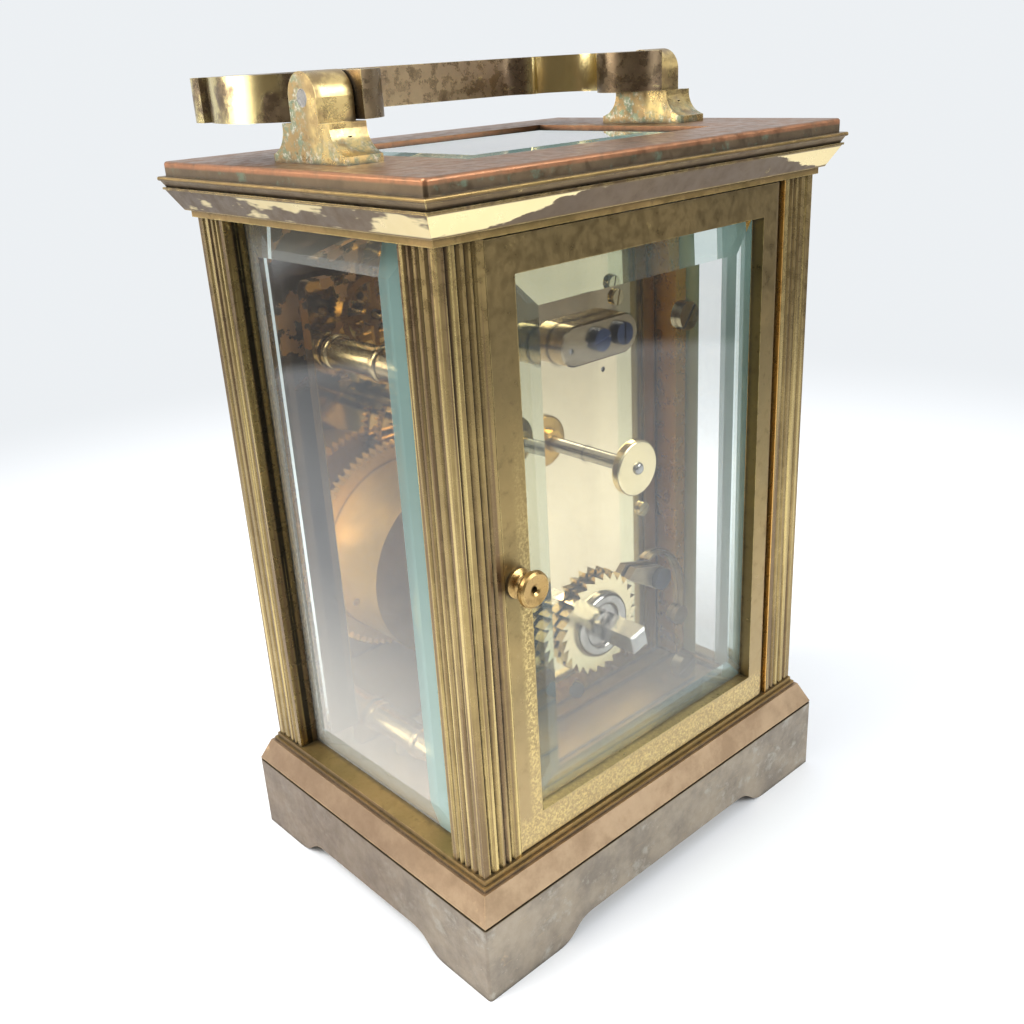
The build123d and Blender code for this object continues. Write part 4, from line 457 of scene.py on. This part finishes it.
def enamel():
    """White fired enamel with a ring of plain hour batons and minute ticks."""
    m = Mat("dial_enamel")
    tone = m.noise(0.15, 4, 0.5, seed=30)
    color = m.mix(m.step(tone, 0.3, 0.7), (0.80, 0.79, 0.74), (0.72, 0.70, 0.64))
    up = m.math("SUBTRACT", m.z, DIAL_CENTRE_Z)
    radius = m.math("SQRT", m.math("ADD", m.times(m.x, m.x), m.times(up, up)))
    turn = m.math("DIVIDE", m.math("ARCTAN2", m.x, up), 2 * math.pi)

    def marks(count, half_width, inner, outer):
        part = m.math("SUBTRACT", m.math("FRACT", m.math("ADD", m.times(turn, count), count + 0.5)), 0.5)
        along = m.times(m.math("ABSOLUTE", part), radius, 2 * math.pi / count)
        across = m.step(along, half_width + INK_BLUR, half_width - INK_BLUR)
        return m.times(across, m.band(radius, inner, outer, INK_BLUR))

    rings = m.most(m.band(radius, 20.35, 20.47, INK_BLUR), m.band(radius, 21.35, 21.47, INK_BLUR))
    ink = m.most(marks(12, 0.55, 15.4, 19.6), marks(60, 0.10, 20.4, 21.4), rings)
    return m.set(color=m.mix(ink, color, (0.012, 0.012, 0.014)), rough=0.12, coat=0.5)


dress("dial", enamel())


def glass(name, bevel, tint, painted_reflection_low=0.0):
    """Clear pane with a faint film of dust and a painted reflection of the floor, lighter towards the bottom.
    Its bevels look green; it lets shadow rays through.
    """
    m = Mat(name)
    m.set(color=m.mix(bevel(m), (0.955, 0.970, 0.960), (0.72, 0.86, 0.82)), rough=0.0, ior=1.5, clear=1.0)
    smears = m.step(m.noise(0.07, 5, 0.6, seed=41), 0.42, 0.72)
    film = m.times(smears, m.step(m.noise(1.8, 5, 0.7, seed=42), 0.3, 0.8))
    dust_and_reflection_layer = m.add("ShaderNodeBsdfDiffuse")
    # The diffuse layer on the bevels is lighter lower down: painted reflection of the white floor.
    green = m.mix(m.step(m.z, 85.0, 30.0), (0.165, 0.250, 0.230), (0.345, 0.440, 0.410))
    m.feed(dust_and_reflection_layer.inputs["Color"], m.mix(bevel(m), (0.62, 0.585, 0.53), green))
    dust_and_reflection_mix = m.add("ShaderNodeMixShader")
    low = m.step(m.z, 88.0, 30.0, 0.35, 1.0)
    # Painted reflection: below 62 mm a pale diffuse layer grows towards the bottom, over the faint dust film.
    dust_and_painted_reflection = m.most(m.times(film, low, 0.12), m.step(m.z, 62.0, 14.0, 0.0, painted_reflection_low))
    m.feed(dust_and_reflection_mix.inputs[0], m.most(dust_and_painted_reflection, m.times(bevel(m), tint)))
    m.link(m.bsdf.outputs[0], dust_and_reflection_mix.inputs[1])
    m.link(dust_and_reflection_layer.outputs[0], dust_and_reflection_mix.inputs[2])
    clear = m.add("ShaderNodeBsdfTransparent")
    clear.inputs["Color"].default_value = (0.90, 0.94, 0.92, 1)
    path = m.add("ShaderNodeLightPath")
    passing = m.add("ShaderNodeMixShader")
    lets_by = m.math("MAXIMUM", path.outputs["Is Shadow Ray"], path.outputs["Is Diffuse Ray"])
    m.link(lets_by, passing.inputs[0])
    m.link(dust_and_reflection_mix.outputs[0], passing.inputs[1])
    m.link(clear.outputs[0], passing.inputs[2])
    m.link(passing.outputs[0], m.out.inputs[0])
    return m.mat


def slanted_faces(m):
    """1 on a pane's bevels, whose normals lie off the part's axes."""
    axes = [m.math("ABSOLUTE", axis) for axis in m.normal_axes()]
    return m.step(m.most(*axes), 0.995, 0.991)


def near_side_bevel(m):
    """1 on the strip beside the rear pillars, chosen by place, and faint on the bevels themselves."""
    return m.most(m.times(slanted_faces(m), 0.35), m.step(m.y, 13.0, 13.15))


def top_margin(m):
    """The pane's bevelled margin."""
    along = m.step(m.math("ABSOLUTE", m.x), 17.0, 17.2)
    return m.most(along, m.step(m.math("ABSOLUTE", m.y), 11.5, 11.7))


dress("side_glasses", glass("side_pane_glass", near_side_bevel, 0.68, painted_reflection_low=0.34))
dress("top_glass", glass("top_pane_glass", top_margin, 0.45))
rear_and_front = glass("door_pane_glass", slanted_faces, 0.06, painted_reflection_low=0.16)
for node in ("front_glass", "door_glass"):
    dress(node, rear_and_front)


# --- Edges of the CAD parts -----------------------------------------------------------------------
EDGE_WIDTHS = {
    "cornice": 0.18, "plinth": 0.25, "corner_pillars": 0.08, "door_frame": 0.22, "handle": 1.0,
    "handle_posts": 0.2, "contrate_cock": 0.1, "back_plate": 0.12, "front_plate": 0.12, "door_knob": 0.08,
}
for node, width in EDGE_WIDTHS.items():
    bevel = bpy.data.objects[node].modifiers.new("soft_edges", "BEVEL")
    bevel.width = width * MM
    bevel.segments = 2
    bevel.limit_method = "ANGLE"
    bevel.angle_limit = math.radians(35)
    bevel.harden_normals = False


# --- Stage, light and camera ----------------------------------------------------------------------
BACKDROP = (0.845, 0.873, 0.898)
ROOM_SIDE = (0.66, 0.75, 0.0)     # the dark room lies on the main camera's side, the backdrop opposite


def toward_room(build, vector):
    """Dot product of a vector with the direction of the dark room."""
    dot = build.add("ShaderNodeVectorMath", operation="DOT_PRODUCT")
    build.link(vector, dot.inputs[0])
    dot.inputs[1].default_value = ROOM_SIDE
    return dot.outputs["Value"]


def floor():
    """White sheet that melts into the backdrop.

    Rays other than the camera's find it dark beyond a distance on the room's side, which is a staging
    device: it gives the metal something dark to reflect.
    """
    mesh = bpy.data.meshes.new("floor")
    size = 6.0
    corners = [(-size, -size, 0), (size, -size, 0), (size, size, 0), (-size, size, 0)]
    mesh.from_pydata(corners, [], [(0, 1, 2, 3)])
    obj = bpy.data.objects.new("floor", mesh)
    scene.collection.objects.link(obj)
    m = Mat("floor_white")
    mesh.materials.append(m.mat)
    radius = m.math("SQRT", m.math("ADD", m.times(m.x, m.x), m.times(m.y, m.y)))
    path = m.add("ShaderNodeLightPath")
    seen = path.outputs["Is Camera Ray"]
    room = m.times(m.step(toward_room(m, m.point), -230.0, -150.0), m.step(radius, 330.0, 380.0))
    hidden = m.times(room, m.math("SUBTRACT", 1.0, seen))
    m.set(color=m.mix(hidden, (0.80, 0.815, 0.83), (0.05, 0.042, 0.036)), rough=0.7)
    glow = m.add("ShaderNodeEmission")
    glow.inputs["Color"].default_value = (*BACKDROP, 1)
    melt = m.add("ShaderNodeMixShader")
    m.link(m.times(m.step(radius, 70.0, 330.0), m.math("SUBTRACT", 1.0, hidden)), melt.inputs[0])
    m.link(m.bsdf.outputs[0], melt.inputs[1])
    m.link(glow.outputs[0], melt.inputs[2])
    m.link(melt.outputs[0], m.out.inputs[0])


class Sky(Mat):
    """The same short names on a world's nodes."""

    def __init__(self, name):
        self.mat = bpy.data.worlds.new(name)
        self.mat.use_nodes = True
        self.tree = self.mat.node_tree
        self.tree.nodes.clear()
        self.out = self.add("ShaderNodeOutputWorld")
        self.background = self.add("ShaderNodeBackground")
        self.link(self.background.outputs[0], self.out.inputs[0])
        self.direction = self.add("ShaderNodeTexCoord").outputs["Generated"]
        split = self.add("ShaderNodeSeparateXYZ")
        self.link(self.direction, split.inputs[0])
        self.x, self.y, self.z = split.outputs


def world():
    """White backdrop behind the clock, bright overhead and a dim brown room on the other side.

    The camera itself sees the plain backdrop colour everywhere.
    """
    sky = Sky("studio")
    scene.world = sky.mat
    room = sky.times(sky.step(toward_room(sky, sky.direction), -0.62, -0.40), sky.step(sky.z, 0.66, 0.40))
    color = sky.mix(sky.step(sky.z, 0.35, 0.75), BACKDROP, (1.12, 1.14, 1.18))
    color = sky.mix(room, color, (0.125, 0.090, 0.058))
    path = sky.add("ShaderNodeLightPath")
    color = sky.mix(path.outputs["Is Camera Ray"], color, BACKDROP)
    sky.link(color, sky.background.inputs["Color"])


def soft_light(name, place, target, size, watts, color=(1, 1, 1)):
    data = bpy.data.lights.new(name, "AREA")
    data.shape = "RECTANGLE"
    data.size, data.size_y = size
    data.energy = watts
    data.color = color
    obj = bpy.data.objects.new(name, data)
    obj.location = place
    obj.rotation_euler = (Vector(target) - Vector(place)).to_track_quat("-Z", "Y").to_euler()
    scene.collection.objects.link(obj)


def camera():
    data = bpy.data.cameras.new("camera")
    data.lens = 38.70
    data.sensor_width = 36.0
    data.clip_start = 0.005
    obj = bpy.data.objects.new("camera", data)
    azimuth, elevation, roll = (math.radians(v) for v in (138.51, 22.63, -3.35))
    back = Vector((math.sin(azimuth) * math.cos(elevation), -math.cos(azimuth) * math.cos(elevation),
                   math.sin(elevation)))
    right = (-back).cross(Vector((0, 0, 1))).normalized()
    up = right.cross(-back)
    turned_right = math.cos(roll) * right + math.sin(roll) * up
    turned_up = -math.sin(roll) * right + math.cos(roll) * up
    rotation = Matrix((turned_right, turned_up, back)).transposed()
    obj.matrix_world = Matrix.Translation((0.1137, 0.1243, 0.1261)) @ rotation.to_4x4()
    scene.collection.objects.link(obj)
    scene.camera = obj


floor()
world()
soft_light("key", (0.60, -0.25, 0.80), (0, 0, 0.05), (0.6, 0.6), 10.0)
soft_light("side", (0.60, -0.45, 0.22), (0, 0, 0.06), (0.35, 0.25), 2.6, (1.0, 0.96, 0.90))
soft_light("fill", (-0.35, 0.75, 0.45), (0, 0, 0.05), (0.5, 0.5), 7.0, (0.95, 0.98, 1.0))
camera()
scene.view_settings.view_transform = "Standard"
